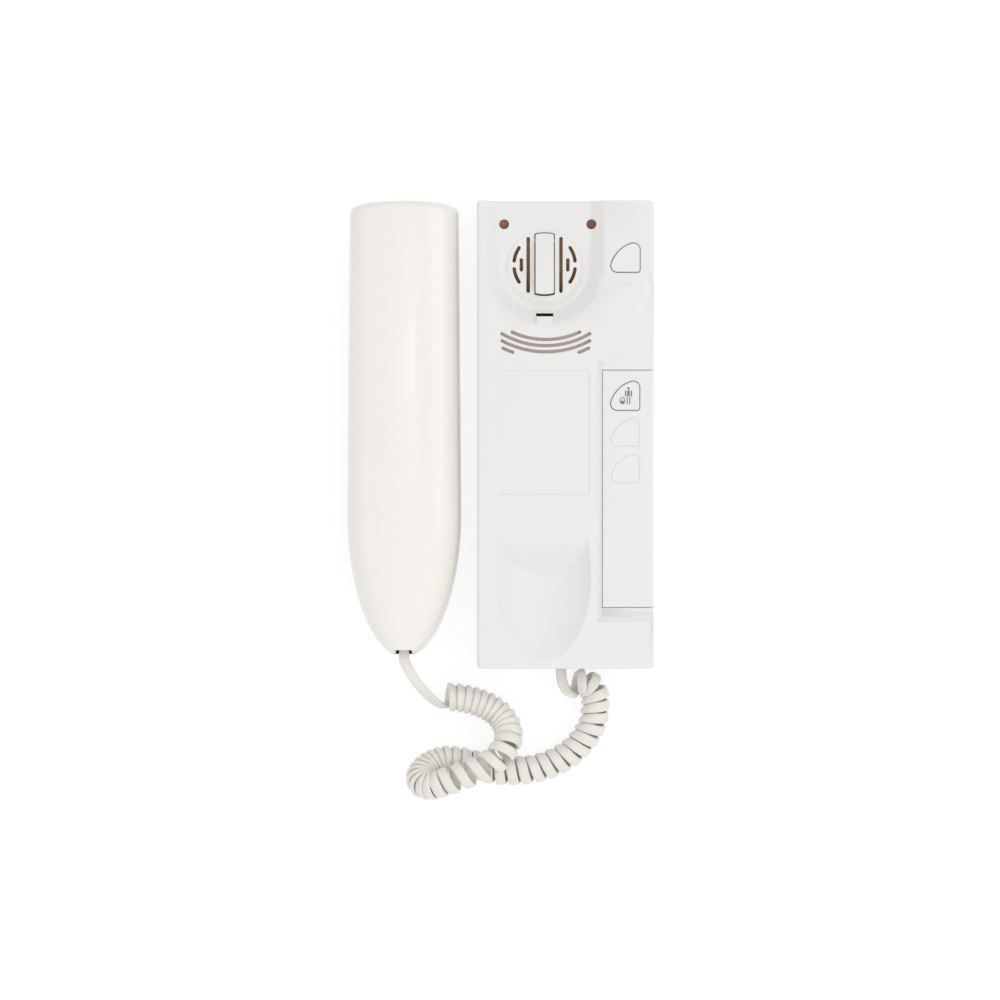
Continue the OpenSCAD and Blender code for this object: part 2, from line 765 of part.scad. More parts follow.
module hook_switch_plunger() {
    length = 3.6;
    color("#B8321F") translate([ear_x, pivot_y - foot_in, hook_plunger_top - length])
        cylinder(r = hook_plunger_r, h = length);
}

module hook_pivot_pin() {
    length = lever_w + 2 * lever_side_gap + 2 * lug_w;
    color(metal) translate([ear_x, pivot_y, pivot_z]) rotate([0, 90, 0])
        cylinder(d = pin_d, h = length, center = true);
}

// Outline of the lever, its ends arched, let out at the sides, the lower and the upper end
module lever_plan(side, low, high) {
    arc_r = 0.6 * lever_len;
    y0 = lever_y0 - low;
    y1 = lever_y1 + high;
    intersection() {
        translate([ear_x - lever_w / 2 - side, y0 - over])
            square([lever_w + 2 * side, y1 - y0 + 2 * over]);
        translate([ear_x, y0 + arc_r]) circle(arc_r);
        translate([ear_x, y1 - arc_r]) circle(arc_r);
    }
}

// Lever in the ear rest: a wedge with a crest, cored out underneath
module hook_lever() {
    crest_y = lever_y1 - crest_at;
    crest_z = ear_floor_z + lever_rise;
    under_z = ear_floor_z - dish_drop - wall;
    skin = 1.6;
    foot_w = 4;
    foot_len = 3;
    core_y0 = lever_y0 + skin;
    core_y1 = pivot_y - foot_in - foot_len / 2 - 1;
    color(base_white) difference() {
        union() {
            intersection() {
                linear_extrude(front_z) lever_plan(0, 0, 0);
                along_x(ear_x - lever_w, ear_x + lever_w) polygon([
                    [lever_y0 - over, under_z], [lever_y0 - over, ear_floor_z + lever_rise / 3],
                    [crest_y, crest_z], [lever_y1 + over, ear_floor_z + lever_rise / 6],
                    [lever_y1 + over, ear_floor_z - wall],
                    [pivot_y - lug_r, ear_floor_z - wall - lug_r], [core_y1, under_z]
                ]);
            }
            translate([ear_x, pivot_y, pivot_z]) rotate([0, 90, 0])
                cylinder(r = lug_r, h = lever_w, center = true);
            translate([ear_x - foot_w / 2, pivot_y - foot_in - foot_len / 2, lever_foot_z])
                cube([foot_w, foot_len, ear_floor_z - lever_foot_z]);
        }
        along_x(ear_x - lever_w / 2 + skin, ear_x + lever_w / 2 - skin) polygon([
            [core_y0, under_z - over], [core_y0, ear_floor_z + lever_rise / 3 - skin],
            [crest_y, crest_z - 1.5 * skin], [core_y1, ear_floor_z + lever_rise / 3],
            [core_y1, under_z - over]
        ]);
        translate([ear_x, pivot_y, pivot_z]) rotate([0, 90, 0])
            cylinder(r = pin_d / 2 + run_gap, h = lever_w + 2 * over, center = true);
    }
}

module switch_body(corner) {
    bore_depth = switch_h - 0.4;
    color(black) translate([corner[0] + stem_in[0], corner[1] + stem_in[1], board_top]) difference() {
        translate([-switch_size / 2, -switch_size / 2, 0]) cube([switch_size, switch_size, switch_h]);
        translate([0, 0, switch_h - bore_depth])
            cylinder(r = switch_plunger_r + plunger_gap, h = bore_depth + over);
    }
}

module switch_plunger(corner) {
    color(black) translate([corner[0] + stem_in[0], corner[1] + stem_in[1], plunger_top - plunger_len])
        cylinder(r = switch_plunger_r, h = plunger_len);
}

// Push button with a flange behind its panel and a stem down to the switch
module push_button(corner, face_z, under_z) {
    flange_top = under_z - fit / 2;
    color("#F2F1F0") {
        translate([corner[0], corner[1], flange_top])
            linear_extrude(face_z + button_rise - flange_top) button_plan(0);
        translate([corner[0], corner[1], flange_top - flange_t])
            linear_extrude(flange_t) button_plan(flange_w);
        translate([corner[0] + stem_in[0], corner[1] + stem_in[1], plunger_top])
            cylinder(r = stem_r, h = flange_top - plunger_top);
    }
}

module door_switch() { switch_body([button_x, door_y]); }
module door_switch_plunger() { switch_plunger([button_x, door_y]); }
module door_button() { push_button([button_x, door_y], front_z, front_z - wall); }
module call_switch() { switch_body([button_x, call_y]); }
module call_switch_plunger() { switch_plunger([button_x, call_y]); }
module call_button() { push_button([button_x, call_y], chan_z, chan_z - strip_t); }

module terminal_block() {
    length = terminals * terminal_pitch + 2;
    well_d = 4.4;
    entry_d = 3;
    color("#3E6B4A") difference() {
        translate([-length / 2, terminal_y - terminal_d / 2, plate_top])
            cube([length, terminal_d, terminal_h]);
        for (i = [0:terminals - 1])
            translate([(i - (terminals - 1) / 2) * terminal_pitch, terminal_y, plate_top]) {
                translate([0, 1, terminal_h / 2]) cylinder(d = well_d, h = terminal_h);
                translate([0, 0, terminal_h / 3]) rotate([90, 0, 0]) cylinder(d = entry_d, h = terminal_d);
            }
    }
}

module terminal_screws() {
    screw_d = 3.8;
    screw_h = 2.6;
    drive = 0.8;
    color(metal) for (i = [0:terminals - 1])
        translate([(i - (terminals - 1) / 2) * terminal_pitch, terminal_y + 1, plate_top + terminal_h / 2])
            difference() {
                cylinder(d = screw_d, h = screw_h);
                translate([-screw_d, -drive / 2, screw_h - drive]) cube([2 * screw_d, drive, screw_h]);
            }
}

// Modular cord socket and plug, open towards -Y, standing on z = 0
module cord_socket() {
    color(black) difference() {
        translate([-socket_w / 2, 0, 0]) cube([socket_w, socket_len, socket_h]);
        translate([-plug_w / 2 - plug_gap, -over, (socket_h - plug_h) / 2 - plug_gap])
            cube([plug_w + 2 * plug_gap, plug_in + plug_len + plug_gap + over, plug_h + 2 * plug_gap]);
    }
}

module cord_plug() {
    latch_w = 3.2;
    color("#C9CBC8") translate([-plug_w / 2, plug_in, (socket_h - plug_h) / 2]) difference() {
        cube([plug_w, plug_len, plug_h]);
        for (side = [0, 1]) translate([side * (plug_w + latch_w) / 2 - over * (1 - side), -over, plug_h - 1])
            cube([(plug_w - latch_w) / 2 + over, plug_len * 0.7, 2]);
    }
}

module base_cord_socket() { translate([cord_exit_x, base_socket_y, plate_top]) cord_socket(); }
module base_cord_plug() { translate([cord_exit_x, base_socket_y, plate_top]) cord_plug(); }
module handset_cord_socket() { translate([hand_x, hand_socket_y, part_z]) cord_socket(); }
module handset_cord_plug() { translate([hand_x, hand_socket_y, part_z]) cord_plug(); }

// Handset

// Distance along the handset is measured from its upper end
function from_tip(d) = handset_len + tip_cut - d;
function taper_at(d) = from_tip(d) >= taper_len ? 1 : sqrt(1 - pow(1 - from_tip(d) / taper_len, 2));
function cap_at(d) = d >= cap_len ? 1 : pow(1 - pow(1 - d / cap_len, 4), 1 / 4);
function half_width(d) =
    (handset_top_w + (handset_w - handset_top_w) * min(1, d / (handset_len - taper_len))) / 2
    * taper_at(d) * cap_at(d);
function crown_at(d) =
    crown_h * (0.5 + 0.5 * taper_at(d)) * (0.94 + 0.06 * sin(min(90, 90 * d / 100)))
    * (d >= cap_len / 2 ? 1 : 0.8 + 0.2 * sqrt(1 - pow(1 - 2 * d / cap_len, 2)));

stations = concat(
    [0.05],
    [for (k = [1:6]) cap_len * (1 - cos(15 * k))],
    [for (k = [1:7]) cap_len + k * (from_tip(taper_len) - cap_len) / 7],
    [for (k = [1:10]) from_tip(taper_len - (taper_len - tip_cut) * sin(9 * k))]
);
arch_points = 15;
arch_power = 2.8;

function arch(w, h, y) = [
    for (k = [0:arch_points - 1]) let (a = 180 - 180 * k / (arch_points - 1))
        [
            hand_x + w * sign(cos(a)) * pow(abs(cos(a)), 2 / arch_power), y,
            part_z + h * pow(abs(sin(a)), 2 / arch_power)
        ]
];
function inner_station(d) = wall + d * (handset_len - 2 * wall) / handset_len;
function grid_faces(rows, cols, start, flip) = flatten([
    for (i = [0:rows - 2], j = [0:cols - 2])
        let (a = start + i * cols + j, b = a + 1, c = a + cols, d = c + 1)
            flip ? [[a, b, c], [b, d, c]] : [[a, c, b], [b, c, d]]
]);
function fan_faces(first, count, flip) = [
    for (j = [1:count - 2]) flip ? [first, first + j + 1, first + j] : [first, first + j, first + j + 1]
];

// Hollow crowned shell: an outer and an inner arched skin joined along the parting line
module crowned_shell() {
    rows = len(stations);
    cols = arch_points;
    last = (rows - 1) * cols;
    inner = rows * cols;
    outer_points = [for (d = stations) each arch(half_width(d), crown_at(d), hand_top_y - d)];
    inner_points = [
        for (d = stations) let (e = inner_station(d))
            each arch(half_width(e) - wall, crown_at(e) - wall, hand_top_y - e)
    ];
    rim = flatten([
        for (i = [0:rows - 2]) let (a = i * cols, b = a + cols, c = a + cols - 1, d = c + cols)
            [
                [a, b, inner + a], [b, inner + b, inner + a],
                [c, inner + c, d], [d, inner + c, inner + d]
            ]
    ]);
    ends = [
        [0, inner, cols - 1], [cols - 1, inner, inner + cols - 1],
        [last, last + cols - 1, inner + last], [last + cols - 1, inner + last + cols - 1, inner + last]
    ];
    polyhedron(
        points = concat(outer_points, inner_points),
        faces = concat(
            grid_faces(rows, cols, 0, true), grid_faces(rows, cols, inner, false),
            fan_faces(0, cols, true), fan_faces(last, cols, false),
            fan_faces(inner, cols, false), fan_faces(inner + last, cols, true),
            rim, ends
        )
    );
}

module tip_notch() {
    translate([hand_x - notch_w / 2, hand_tip_y - over, -over])
        cube([notch_w, notch_d + over, part_z + crown_h + 2 * over]);
}

module handset_back_shell() {
    boss_r = 3.2;
    color(handset_white) difference() {
        union() {
            crowned_shell();
            for (y = hand_screw_y) translate([hand_x, y, part_z])
                cylinder(r = boss_r, h = crown_at(hand_top_y - y) - wall / 2);
        }
        for (y = hand_screw_y) translate([hand_x, y, part_z - over])
            cylinder(r = small_screw_r + pilot_gap, h = 8 + over);
        tip_notch();
    }
}

// Flat outline of the handset, drawn in by inset
module handset_outline(inset) {
    right = [
        for (d = stations)
            [half_width(d) - inset, hand_top_y - max(inset, min(d, handset_len - inset))]
    ];
    polygon([
        for (p = right) [hand_x + p[0], p[1]],
        for (i = [len(right) - 1:-1:0]) [hand_x - right[i][0], right[i][1]]
    ]);
}

module handset_front_shell() {
    cup_flare = 3;
    round_in = 0.8;
    plate_hole = 14;
    hole_r = 1.1;
    hole_ring = 5;
    mic_hole_ring = 2.6;
    color(handset_white) difference() {
        union() {
            translate([0, 0, cup_h]) linear_extrude(face_t / 2) handset_outline(round_in);
            translate([0, 0, cup_h + face_t / 2]) linear_extrude(face_t / 2) handset_outline(0);
            translate([hand_x, hand_ear_y, 0]) rotate_extrude() polygon([
                [0, 1.2], [ear_cup_r - 5, 0], [ear_cup_r, 0], [ear_cup_r + cup_flare, cup_h],
                [ear_cup_r + cup_flare, cup_h + face_t / 2], [0, cup_h + face_t / 2]
            ]);
            translate([hand_x, hand_mouth_y, 0]) difference() {
                intersection() {
                    translate([0, 0, mouth_cup_r]) sphere(mouth_cup_r, $fn = 96);
                    cylinder(r = mouth_cup_r, h = cup_h + face_t / 2);
                }
                intersection() {
                    translate([0, 0, mouth_cup_r]) sphere(mouth_cup_r - wall, $fn = 96);
                    cylinder(r = mouth_cup_r, h = cup_h);
                }
            }
            translate([hand_x, hand_mouth_y, wall / 2]) cylinder(r = boot_r + 2, h = mic_pad_z - wall / 2);
        }
        translate([hand_x, hand_ear_y, cup_floor]) cylinder(r = capsule_r + fit, h = part_z);
        translate([hand_x, hand_mouth_y, cup_h - over]) cylinder(r = plate_hole, h = face_t + 2 * over);
        translate([hand_x, hand_mouth_y, -over]) for (a = [0:120:240])
            rotate([0, 0, a + 90]) translate([mic_hole_ring, 0, 0])
                cylinder(r = hole_r, h = mic_pad_z + 2 * over);
        translate([hand_x, hand_ear_y, -over]) for (ring = [0:2], a = [0:60 / max(1, ring):359])
            if (ring > 0 || a == 0) rotate([0, 0, a]) translate([hole_ring * ring, 0, 0])
                cylinder(r = hole_r, h = cup_floor + 2 * over);
        for (y = hand_screw_y) translate([hand_x, y, cup_h - over]) {
            cylinder(r = small_screw_r + fit, h = face_t + 2 * over);
            cylinder(r = head_r + fit, h = over + face_t / 2);
        }
        tip_notch();
    }
}

module handset_screws() {
    shank = 7;
    color(metal) for (y = hand_screw_y) translate([hand_x, y, cup_h]) {
        cylinder(r = head_r, h = face_t / 2);
        translate([0, 0, face_t / 2]) cylinder(r = small_screw_r, h = shank);
    }
}

module earpiece_gasket() {
    inner = 12.5;
    color("#4A4A4C") translate([hand_x, hand_ear_y, cup_floor]) difference() {
        cylinder(r = capsule_r, h = gasket_t);
        translate([0, 0, -over]) cylinder(r = inner, h = gasket_t + 2 * over);
    }
}

module earpiece_capsule() {
    base_z = cup_floor + gasket_t;
    height = part_z - base_z;
    step = 2.5;
    color(black) translate([hand_x, hand_ear_y, base_z]) rotate_extrude() polygon([
        [0, 0], [capsule_r, 0], [capsule_r, height / 2], [capsule_r - step, height / 2],
        [capsule_r - step, height], [0, height]
    ]);
}

module microphone_boot() {
    height = 7;
    color("#4A4A4C") translate([hand_x, hand_mouth_y, mic_pad_z]) difference() {
        cylinder(r = boot_r, h = height);
        translate([0, 0, 1]) cylinder(r = mic_r, h = height);
        translate([0, 0, -over]) cylinder(r = mic_r - 1, h = height);
    }
}

module microphone_capsule() {
    color(metal) translate([hand_x, hand_mouth_y, mic_pad_z + 1]) cylinder(r = mic_r, h = 5.2);
}

// Curly cord

function spline_point(p, i, u) =
    let (a = p[max(i - 1, 0)], b = p[i], c = p[i + 1], d = p[min(i + 2, len(p) - 1)])
        0.5 * (2 * b + (c - a) * u + (2 * a - 5 * b + 4 * c - d) * pow(u, 2)
            + (3 * b - a - 3 * c + d) * pow(u, 3));

axis_points = concat(
    [
        for (i = [0:len(coil_route) - 2], k = [0:spline_steps - 1])
            spline_point(coil_route, i, k / spline_steps)
    ],
    [coil_route[len(coil_route) - 1]]
);
axis_last = len(axis_points) - 1;
axis_lengths = [
    for (
        i = 0, s = 0; i <= axis_last;
        i = i + 1, s = i > axis_last ? s : s + norm(axis_points[i] - axis_points[i - 1])
    ) s
];
axis_length = axis_lengths[axis_last];
tangents = [for (i = [0:axis_last]) unit(axis_points[min(i + 1, axis_last)] - axis_points[max(i - 1, 0)])];
// Side directions carried along the axis without twist
side_start = unit(cross(tangents[0], [0, 0, 1]));
sides = [
    for (
        i = 0, n = side_start;
        i <= axis_last;
        i = i + 1, n = i > axis_last ? n : unit(n - (n * tangents[i]) * tangents[i])
    ) n
];
index_at = [for (i = [0:axis_last]) [axis_lengths[i], i]];
bend_span = 6;
function bend_at(i) =
    let (a = max(i - bend_span, 0), b = min(i + bend_span, axis_last))
        norm(tangents[b] - tangents[a]) / (axis_lengths[b] - axis_lengths[a]);
// Curls spread where the coil bends, so that their inner sides stay apart
pitch_table = [
    for (i = [0:axis_last])
        [axis_lengths[i], max(curl_pitch, (cord_w + curl_gap) / (1 - bend_at(i) * curl_od / 2))]
];
free_marks = [
    for (s = 0; s < axis_length; s = s + lookup(s, pitch_table) / rings_per_curl) s
];
curl_rings = floor((len(free_marks) - 1 - end_rings) / rings_per_curl) * rings_per_curl + end_rings;
mark_scale = axis_length / free_marks[curl_rings];

function mix(list, t) =
    let (i = min(floor(t), axis_last - 1), u = t - i) list[i] * (1 - u) + list[i + 1] * u;
// One ring of the coil: its centre, its width direction and its thickness direction
function curl_ring(k) =
    let (
        t = lookup(free_marks[k] * mark_scale, index_at),
        along = unit(mix(tangents, t)),
        flat = mix(sides, t),
        side = unit(flat - (flat * along) * along),
        up = cross(side, along),
        angle = 360 * k / rings_per_curl,
        out = cos(angle) * side + sin(angle) * up
    ) [mix(axis_points, t) + curl_r * out, along, out];

curls = [for (k = [0:curl_rings]) curl_ring(k)];

function bezier(p, u) =
    pow(1 - u, 3) * p[0] + 3 * u * pow(1 - u, 2) * p[1] + 3 * u * u * (1 - u) * p[2] + pow(u, 3) * p[3];
function bezier_way(p, u) =
    unit(pow(1 - u, 2) * (p[1] - p[0]) + 2 * u * (1 - u) * (p[2] - p[1]) + u * u * (p[3] - p[2]));

// A lead from its plug to an end of the coil, straight for a cord's width and then curved
function lead(start, ring, next, pull) =
    let (
        straight = start - [0, 2 * cord_w, 0],
        way = unit(ring[0] - next[0]),
        p = [straight, straight - [0, pull[0], 0], ring[0] + pull[1] * way, ring[0]]
    ) concat(
        [[start, [1, 0, 0], [0, 0, 1]]],
        [
            for (k = [0:lead_rings - 1])
                let (
                    u = k / lead_rings,
                    go = bezier_way(p, u),
                    lean = (1 - u) * [1, 0, 0] + u * ring[1] * sign(ring[1] * [1, 0, 0]),
                    flat = unit(lean - (lean * go) * go)
                ) [bezier(p, u), flat, cross(flat, go)]
        ]
    );

base_lead = lead(base_lead_start, curls[0], curls[1], base_lead_pull);
hand_lead = lead(hand_lead_start, curls[curl_rings], curls[curl_rings - 1], hand_lead_pull);
function reversed(list) = [for (i = [len(list) - 1:-1:0]) list[i]];
cord_rings = concat(base_lead, curls, reversed(hand_lead));
cord_sides = 6;

// Six corners of the flat cord, in order round the way the cord runs
function ring_corners(i) =
    let (
        ring = cord_rings[i],
        go = cord_rings[min(i + 1, len(cord_rings) - 1)][0] - cord_rings[max(i - 1, 0)][0],
        turn = sign(cross(ring[1], ring[2]) * go)
    ) [
        for (k = [0:cord_sides - 1])
            let (a = turn * 360 * k / cord_sides)
                ring[0] + ring[1] * cos(a) * cord_w / 2 + ring[2] * sin(a) * cord_t / sqrt(3)
    ];

module curly_cord() {
    rows = len(cord_rings);
    corners = [for (i = [0:rows - 1]) ring_corners(i)];
    last = (rows - 1) * cord_sides;
    near_gap = min([
        for (i = [0:rows - 13], j = [i + 6:i + 12], a = corners[i], b = corners[j]) norm(a - b)
    ]);
    far_gap = min([
        for (i = [0:2:rows - 14], j = [i + 13:2:rows - 1]) norm(cord_rings[i][0] - cord_rings[j][0])
    ]) - cord_w;
    length = [
        for (i = 1, s = 0; i < rows; s = s + norm(cord_rings[i][0] - cord_rings[i - 1][0]), i = i + 1) s
    ];
    echo(curls = curl_rings / rings_per_curl, least_gap = min(near_gap, far_gap));
    echo(cord_length = length[rows - 2]);
    color(cord_white) polyhedron(
        points = flatten(corners),
        faces = concat(
            flatten([
                for (i = [0:rows - 2], k = [0:cord_sides - 1])
                    let (
                        a = i * cord_sides + k, b = i * cord_sides + (k + 1) % cord_sides,
                        c = a + cord_sides, d = b + cord_sides
                    ) [[a, c, b], [b, c, d]]
            ]),
            fan_faces(0, cord_sides, false), fan_faces(last, cord_sides, true)
        )
    );
}

front_cover();
back_plate();
button_strip();
circuit_board();
board_screws();
call_speaker();
speaker_cone();
hook_switch();
hook_switch_plunger();
hook_pivot_pin();
hook_lever();
door_switch();
door_switch_plunger();
door_button();
call_switch();
call_switch_plunger();
call_button();
terminal_block();
terminal_screws();
base_cord_socket();
base_cord_plug();
cover_screw();
handset_back_shell();
handset_front_shell();
handset_screws();
earpiece_gasket();
earpiece_capsule();
microphone_boot();
microphone_capsule();
handset_cord_socket();
handset_cord_plug();
curly_cord();
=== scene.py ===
"""Looks of a wall audio intercom: the moulded base, the handset beside it and the curly cord."""

import math

import bmesh
import bpy
from bpy.props import FloatProperty, FloatVectorProperty, IntProperty, PointerProperty
from mathutils import Matrix, Vector


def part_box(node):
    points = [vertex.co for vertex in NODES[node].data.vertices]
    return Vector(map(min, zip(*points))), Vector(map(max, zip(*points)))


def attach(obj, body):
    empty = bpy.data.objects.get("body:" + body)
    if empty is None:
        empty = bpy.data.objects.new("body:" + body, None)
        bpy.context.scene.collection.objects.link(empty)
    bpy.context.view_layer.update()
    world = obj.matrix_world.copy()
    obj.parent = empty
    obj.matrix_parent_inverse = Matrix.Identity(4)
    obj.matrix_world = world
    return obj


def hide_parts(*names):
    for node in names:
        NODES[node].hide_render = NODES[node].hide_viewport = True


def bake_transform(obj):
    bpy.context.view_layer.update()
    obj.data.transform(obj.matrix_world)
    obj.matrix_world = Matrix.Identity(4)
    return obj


bl_info = {
    "name": "Wall intercom",
    "version": (1, 0, 0),
    "blender": (4, 5, 0),
    "location": "3D View > Sidebar > Intercom",
    "description": "Dresses a wall intercom: mouldings, handset, curly cord, finishes and studio",
    "category": "Object",
}

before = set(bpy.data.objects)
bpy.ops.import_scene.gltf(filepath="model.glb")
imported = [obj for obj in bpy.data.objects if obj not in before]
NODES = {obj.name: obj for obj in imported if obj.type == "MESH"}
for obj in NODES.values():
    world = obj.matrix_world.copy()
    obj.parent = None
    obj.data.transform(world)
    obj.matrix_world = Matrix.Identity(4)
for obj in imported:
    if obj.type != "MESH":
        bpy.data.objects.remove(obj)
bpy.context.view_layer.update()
MM = 0.001

# Axis of the coiled stretch of the cord, from the base to the handset
COIL_ROUTE = [
    (0.0050, -0.1202, 0.0072), (0.0106, -0.1208, 0.0072), (0.0140, -0.1243, 0.0072),
    (0.0150, -0.1305, 0.0072), (0.0139, -0.1393, 0.0072), (0.0101, -0.1466, 0.0072),
    (0.0034, -0.1540, 0.0072), (-0.0049, -0.1590, 0.0072), (-0.0149, -0.1623, 0.0072),
    (-0.0244, -0.1632, 0.0072), (-0.0317, -0.1631, 0.0072), (-0.0379, -0.1622, 0.0072),
    (-0.0451, -0.1600, 0.0072), (-0.0538, -0.1581, 0.0072), (-0.0601, -0.1583, 0.0080),
    (-0.0665, -0.1611, 0.0103), (-0.0699, -0.1651, 0.0143), (-0.0690, -0.1683, 0.0184),
    (-0.0643, -0.1693, 0.0213), (-0.0570, -0.1673, 0.0222), (-0.0495, -0.1647, 0.0222),
    (-0.0408, -0.1610, 0.0218), (-0.0334, -0.1566, 0.0202), (-0.0284, -0.1502, 0.0162),
    (-0.0273, -0.1446, 0.0120), (-0.0290, -0.1394, 0.0090), (-0.0329, -0.1349, 0.0076),
    (-0.0387, -0.1313, 0.0072), (-0.0467, -0.1286, 0.0072), (-0.0533, -0.1276, 0.0072),
    (-0.0564, -0.1274, 0.0072),
]
# Where the two leads of the cord leave their plugs
BASE_LEAD_START = (-0.0016, -0.1094, 0.0067)
HANDSET_LEAD_START = (-0.0778, -0.1029, 0.0185)
# How far the leads are drawn on past their plugs, and past the ends of the coil
BASE_LEAD_PULLS = ((0, -0.009, 0.002), 0.004)
HANDSET_LEAD_PULLS = ((0.005, -0.013, 0), 0.007)
# Distance along the axis and distance there from curl to curl: closed up in the fold and the upper bend
CURL_PITCHES = [
    (0.000, 0.0048), (0.012, 0.0051), (0.030, 0.0055), (0.050, 0.0058), (0.080, 0.0059), (0.095, 0.0052),
    (0.104, 0.0040), (0.111, 0.0027), (0.134, 0.0027), (0.140, 0.0050), (0.145, 0.0076), (0.168, 0.0080),
    (0.177, 0.0060), (0.185, 0.0042), (0.192, 0.0034), (0.206, 0.0034), (0.214, 0.0038), (0.223, 0.0043),
]
# Lean of a curl that lies free of its neighbours
FREE_LEAN = math.radians(7)
# Power that squares off the oval sections of the handset and the cord
SECTION_POWER = 2 / 2.8


def linear(red, green, blue):
    """Linear colour of display values from 0 to 255."""
    def channel(value):
        share = value / 255
        return share / 12.92 if share <= 0.04045 else ((share + 0.055) / 1.055) ** 2.4
    return (channel(red), channel(green), channel(blue))


def length(name, description, default):
    """Property that holds a length in metres."""
    return FloatProperty(name=name, description=description, default=default, unit="LENGTH", precision=5)


def tint(name, description, default):
    """Property that holds a colour."""
    return FloatVectorProperty(
        name=name, description=description, default=linear(*default), subtype="COLOR", min=0, max=1)


def power(name, description, default):
    """Property that holds a lamp's power."""
    return FloatProperty(name=name, description=description, default=default, unit="POWER")


class CordSizes(bpy.types.PropertyGroup):
    """Sizes of the flat curly cord."""
    width: length("Width", "Width of the flat cord", 5.1 * MM)
    thickness: length("Thickness", "Thickness of the flat cord", 2.2 * MM)
    curl_width: length("Curl width", "Outer diameter of the curls", 13.9 * MM)
    rings: IntProperty(name="Rings", description="Rings of the mesh in one curl", default=36)
    sides: IntProperty(name="Sides", description="Points round the cord", default=16)


class HandsetSizes(bpy.types.PropertyGroup):
    """Sizes of the crowned handset back."""
    middle: length("Middle", "Place of its long axis across the frame", -77.8 * MM)
    top: length("Top", "Place of its upper end along the frame", 112.5 * MM)
    parting: length("Parting line", "Height of the parting line over the floor", 14 * MM)
    length: length("Length", "Length of the handset", 219 * MM)
    width: length("Width", "Largest width", 55.4 * MM)
    top_width: length("Top width", "Width at the upper end", 52.8 * MM)
    taper: length("Taper", "Length of the tapered lower end", 70 * MM)
    cap: length("Cap", "Length of the rounded upper end", 8 * MM)
    crown: length("Crown", "Height of the crown over the parting line", 21 * MM)
    wall: length("Wall", "Wall thickness of the back shell", 1.8 * MM)
    notch_width: length("Notch width", "Width of the cord notch", 9 * MM)
    notch_depth: length("Notch depth", "Depth of the cord notch", 2.8 * MM)
    arch_points: IntProperty(name="Arch points", description="Points across one section", default=57)


class DetailSizes(bpy.types.PropertyGroup):
    """Sizes of the roundings, screws, signs and liners."""
    channel_roll: length("Channel roll", "Width of the soft roll into the side channel", 2.4 * MM)
    rounding: length("Rounding", "Width of the rounding along the base's edges", 0.4 * MM)
    fine_rounding: length("Fine rounding", "Width of the rounding along small edges", 0.3 * MM)
    screw_head: length("Screw head", "Radius of a cross-head screw", 2.6 * MM)
    head_height: length("Head height", "Height of a screw's head", 1.1 * MM)
    screw_shank: length("Screw shank", "Radius of a screw's shank", 1.2 * MM)
    shank_length: length("Shank length", "Length of a screw's shank", 7 * MM)
    ink: length("Ink", "Thickness of the printed sign", 0.03 * MM)
    key_rise: length("Key rise", "Height of the raised key sign", 0.3 * MM)
    liner: length("Liner", "Thickness of the liners behind the slots", 0.25 * MM)


class FinishColours(bpy.types.PropertyGroup):
    """Colours of the finishes."""
    base: tint("Base", "White of the base mouldings", (235, 234, 232))
    button: tint("Buttons", "White of the keys", (235, 234, 232))
    handset: tint("Handset", "Warm white of the handset", (243, 240, 234))
    cord: tint("Cord", "White of the cord's jacket", (234, 231, 224))
    board: tint("Board", "Brown of the board laminate", (196, 151, 122))
    paper: tint("Paper", "Warm grey of the speaker's paper", (196, 184, 174))
    terminal: tint("Terminals", "Green of the terminal block", (62, 107, 74))
    plunger: tint("Plunger", "Red of the switch plungers", (184, 50, 31))
    switch: tint("Switches", "Black of the switches and sockets", (38, 38, 42))
    rubber: tint("Rubber", "Dark grey of the gasket and the boot", (70, 70, 72))
    plug: tint("Plugs", "Pale grey of the cord's plugs", (226, 226, 222))
    sign: tint("Sign", "Grey of the printed sign", (118, 116, 117))


class StageSettings(bpy.types.PropertyGroup):
    """Camera and light of the studio."""
    camera_height: length("Camera height", "Height of the camera over the floor", 1.8)
    lens: FloatProperty(name="Lens", description="Focal length of the camera", default=132.5, unit="CAMERA")
    dome: FloatProperty(name="Dome", description="Strength of the even light all round", default=0.77)
    front: power("Front", "Power of the wide sheet in front", 1.9)
    key: power("Key", "Power of the soft box on the right", 3.2)
    fill: power("Fill", "Power of the soft box on the left", 0.8)
    top: power("Top", "Power of the soft box overhead", 0.3)


# Finishes

PLASTIC_IOR = 1.49


def finish_base(name):
    """New material: its node tree and its shader."""
    material = bpy.data.materials.new(name)
    material.use_nodes = True
    tree = material.node_tree
    shader = tree.nodes["Principled BSDF"]
    return material, tree, shader


def object_noise(tree, scale, detail=3.0, stretch=(1, 1, 1)):
    """Noise on the piece's own coordinates, in turns per metre."""
    place = tree.nodes.new("ShaderNodeTexCoord")
    mapping = tree.nodes.new("ShaderNodeMapping")
    noise = tree.nodes.new("ShaderNodeTexNoise")
    mapping.inputs["Scale"].default_value = stretch
    noise.inputs["Scale"].default_value = scale
    noise.inputs["Detail"].default_value = detail
    tree.links.new(place.outputs["Object"], mapping.inputs["Vector"])
    tree.links.new(mapping.outputs["Vector"], noise.inputs["Vector"])
    return noise.outputs["Fac"]


def spread(tree, source, low, high):
    """Value from low to high that follows a noise."""
    node = tree.nodes.new("ShaderNodeMapRange")
    node.inputs["To Min"].default_value = low
    node.inputs["To Max"].default_value = high
    tree.links.new(source, node.inputs["Value"])
    return node.outputs["Result"]


def tone(tree, source, colour, change):
    """Colour that drifts a little either side of its own value."""
    ramp = tree.nodes.new("ShaderNodeValToRGB")
    ramp.color_ramp.elements[0].color = (*[max(0, c * (1 - change)) for c in colour], 1)
    ramp.color_ramp.elements[1].color = (*[min(1, c * (1 + change)) for c in colour], 1)
    tree.links.new(source, ramp.inputs["Fac"])
    return ramp.outputs["Color"]


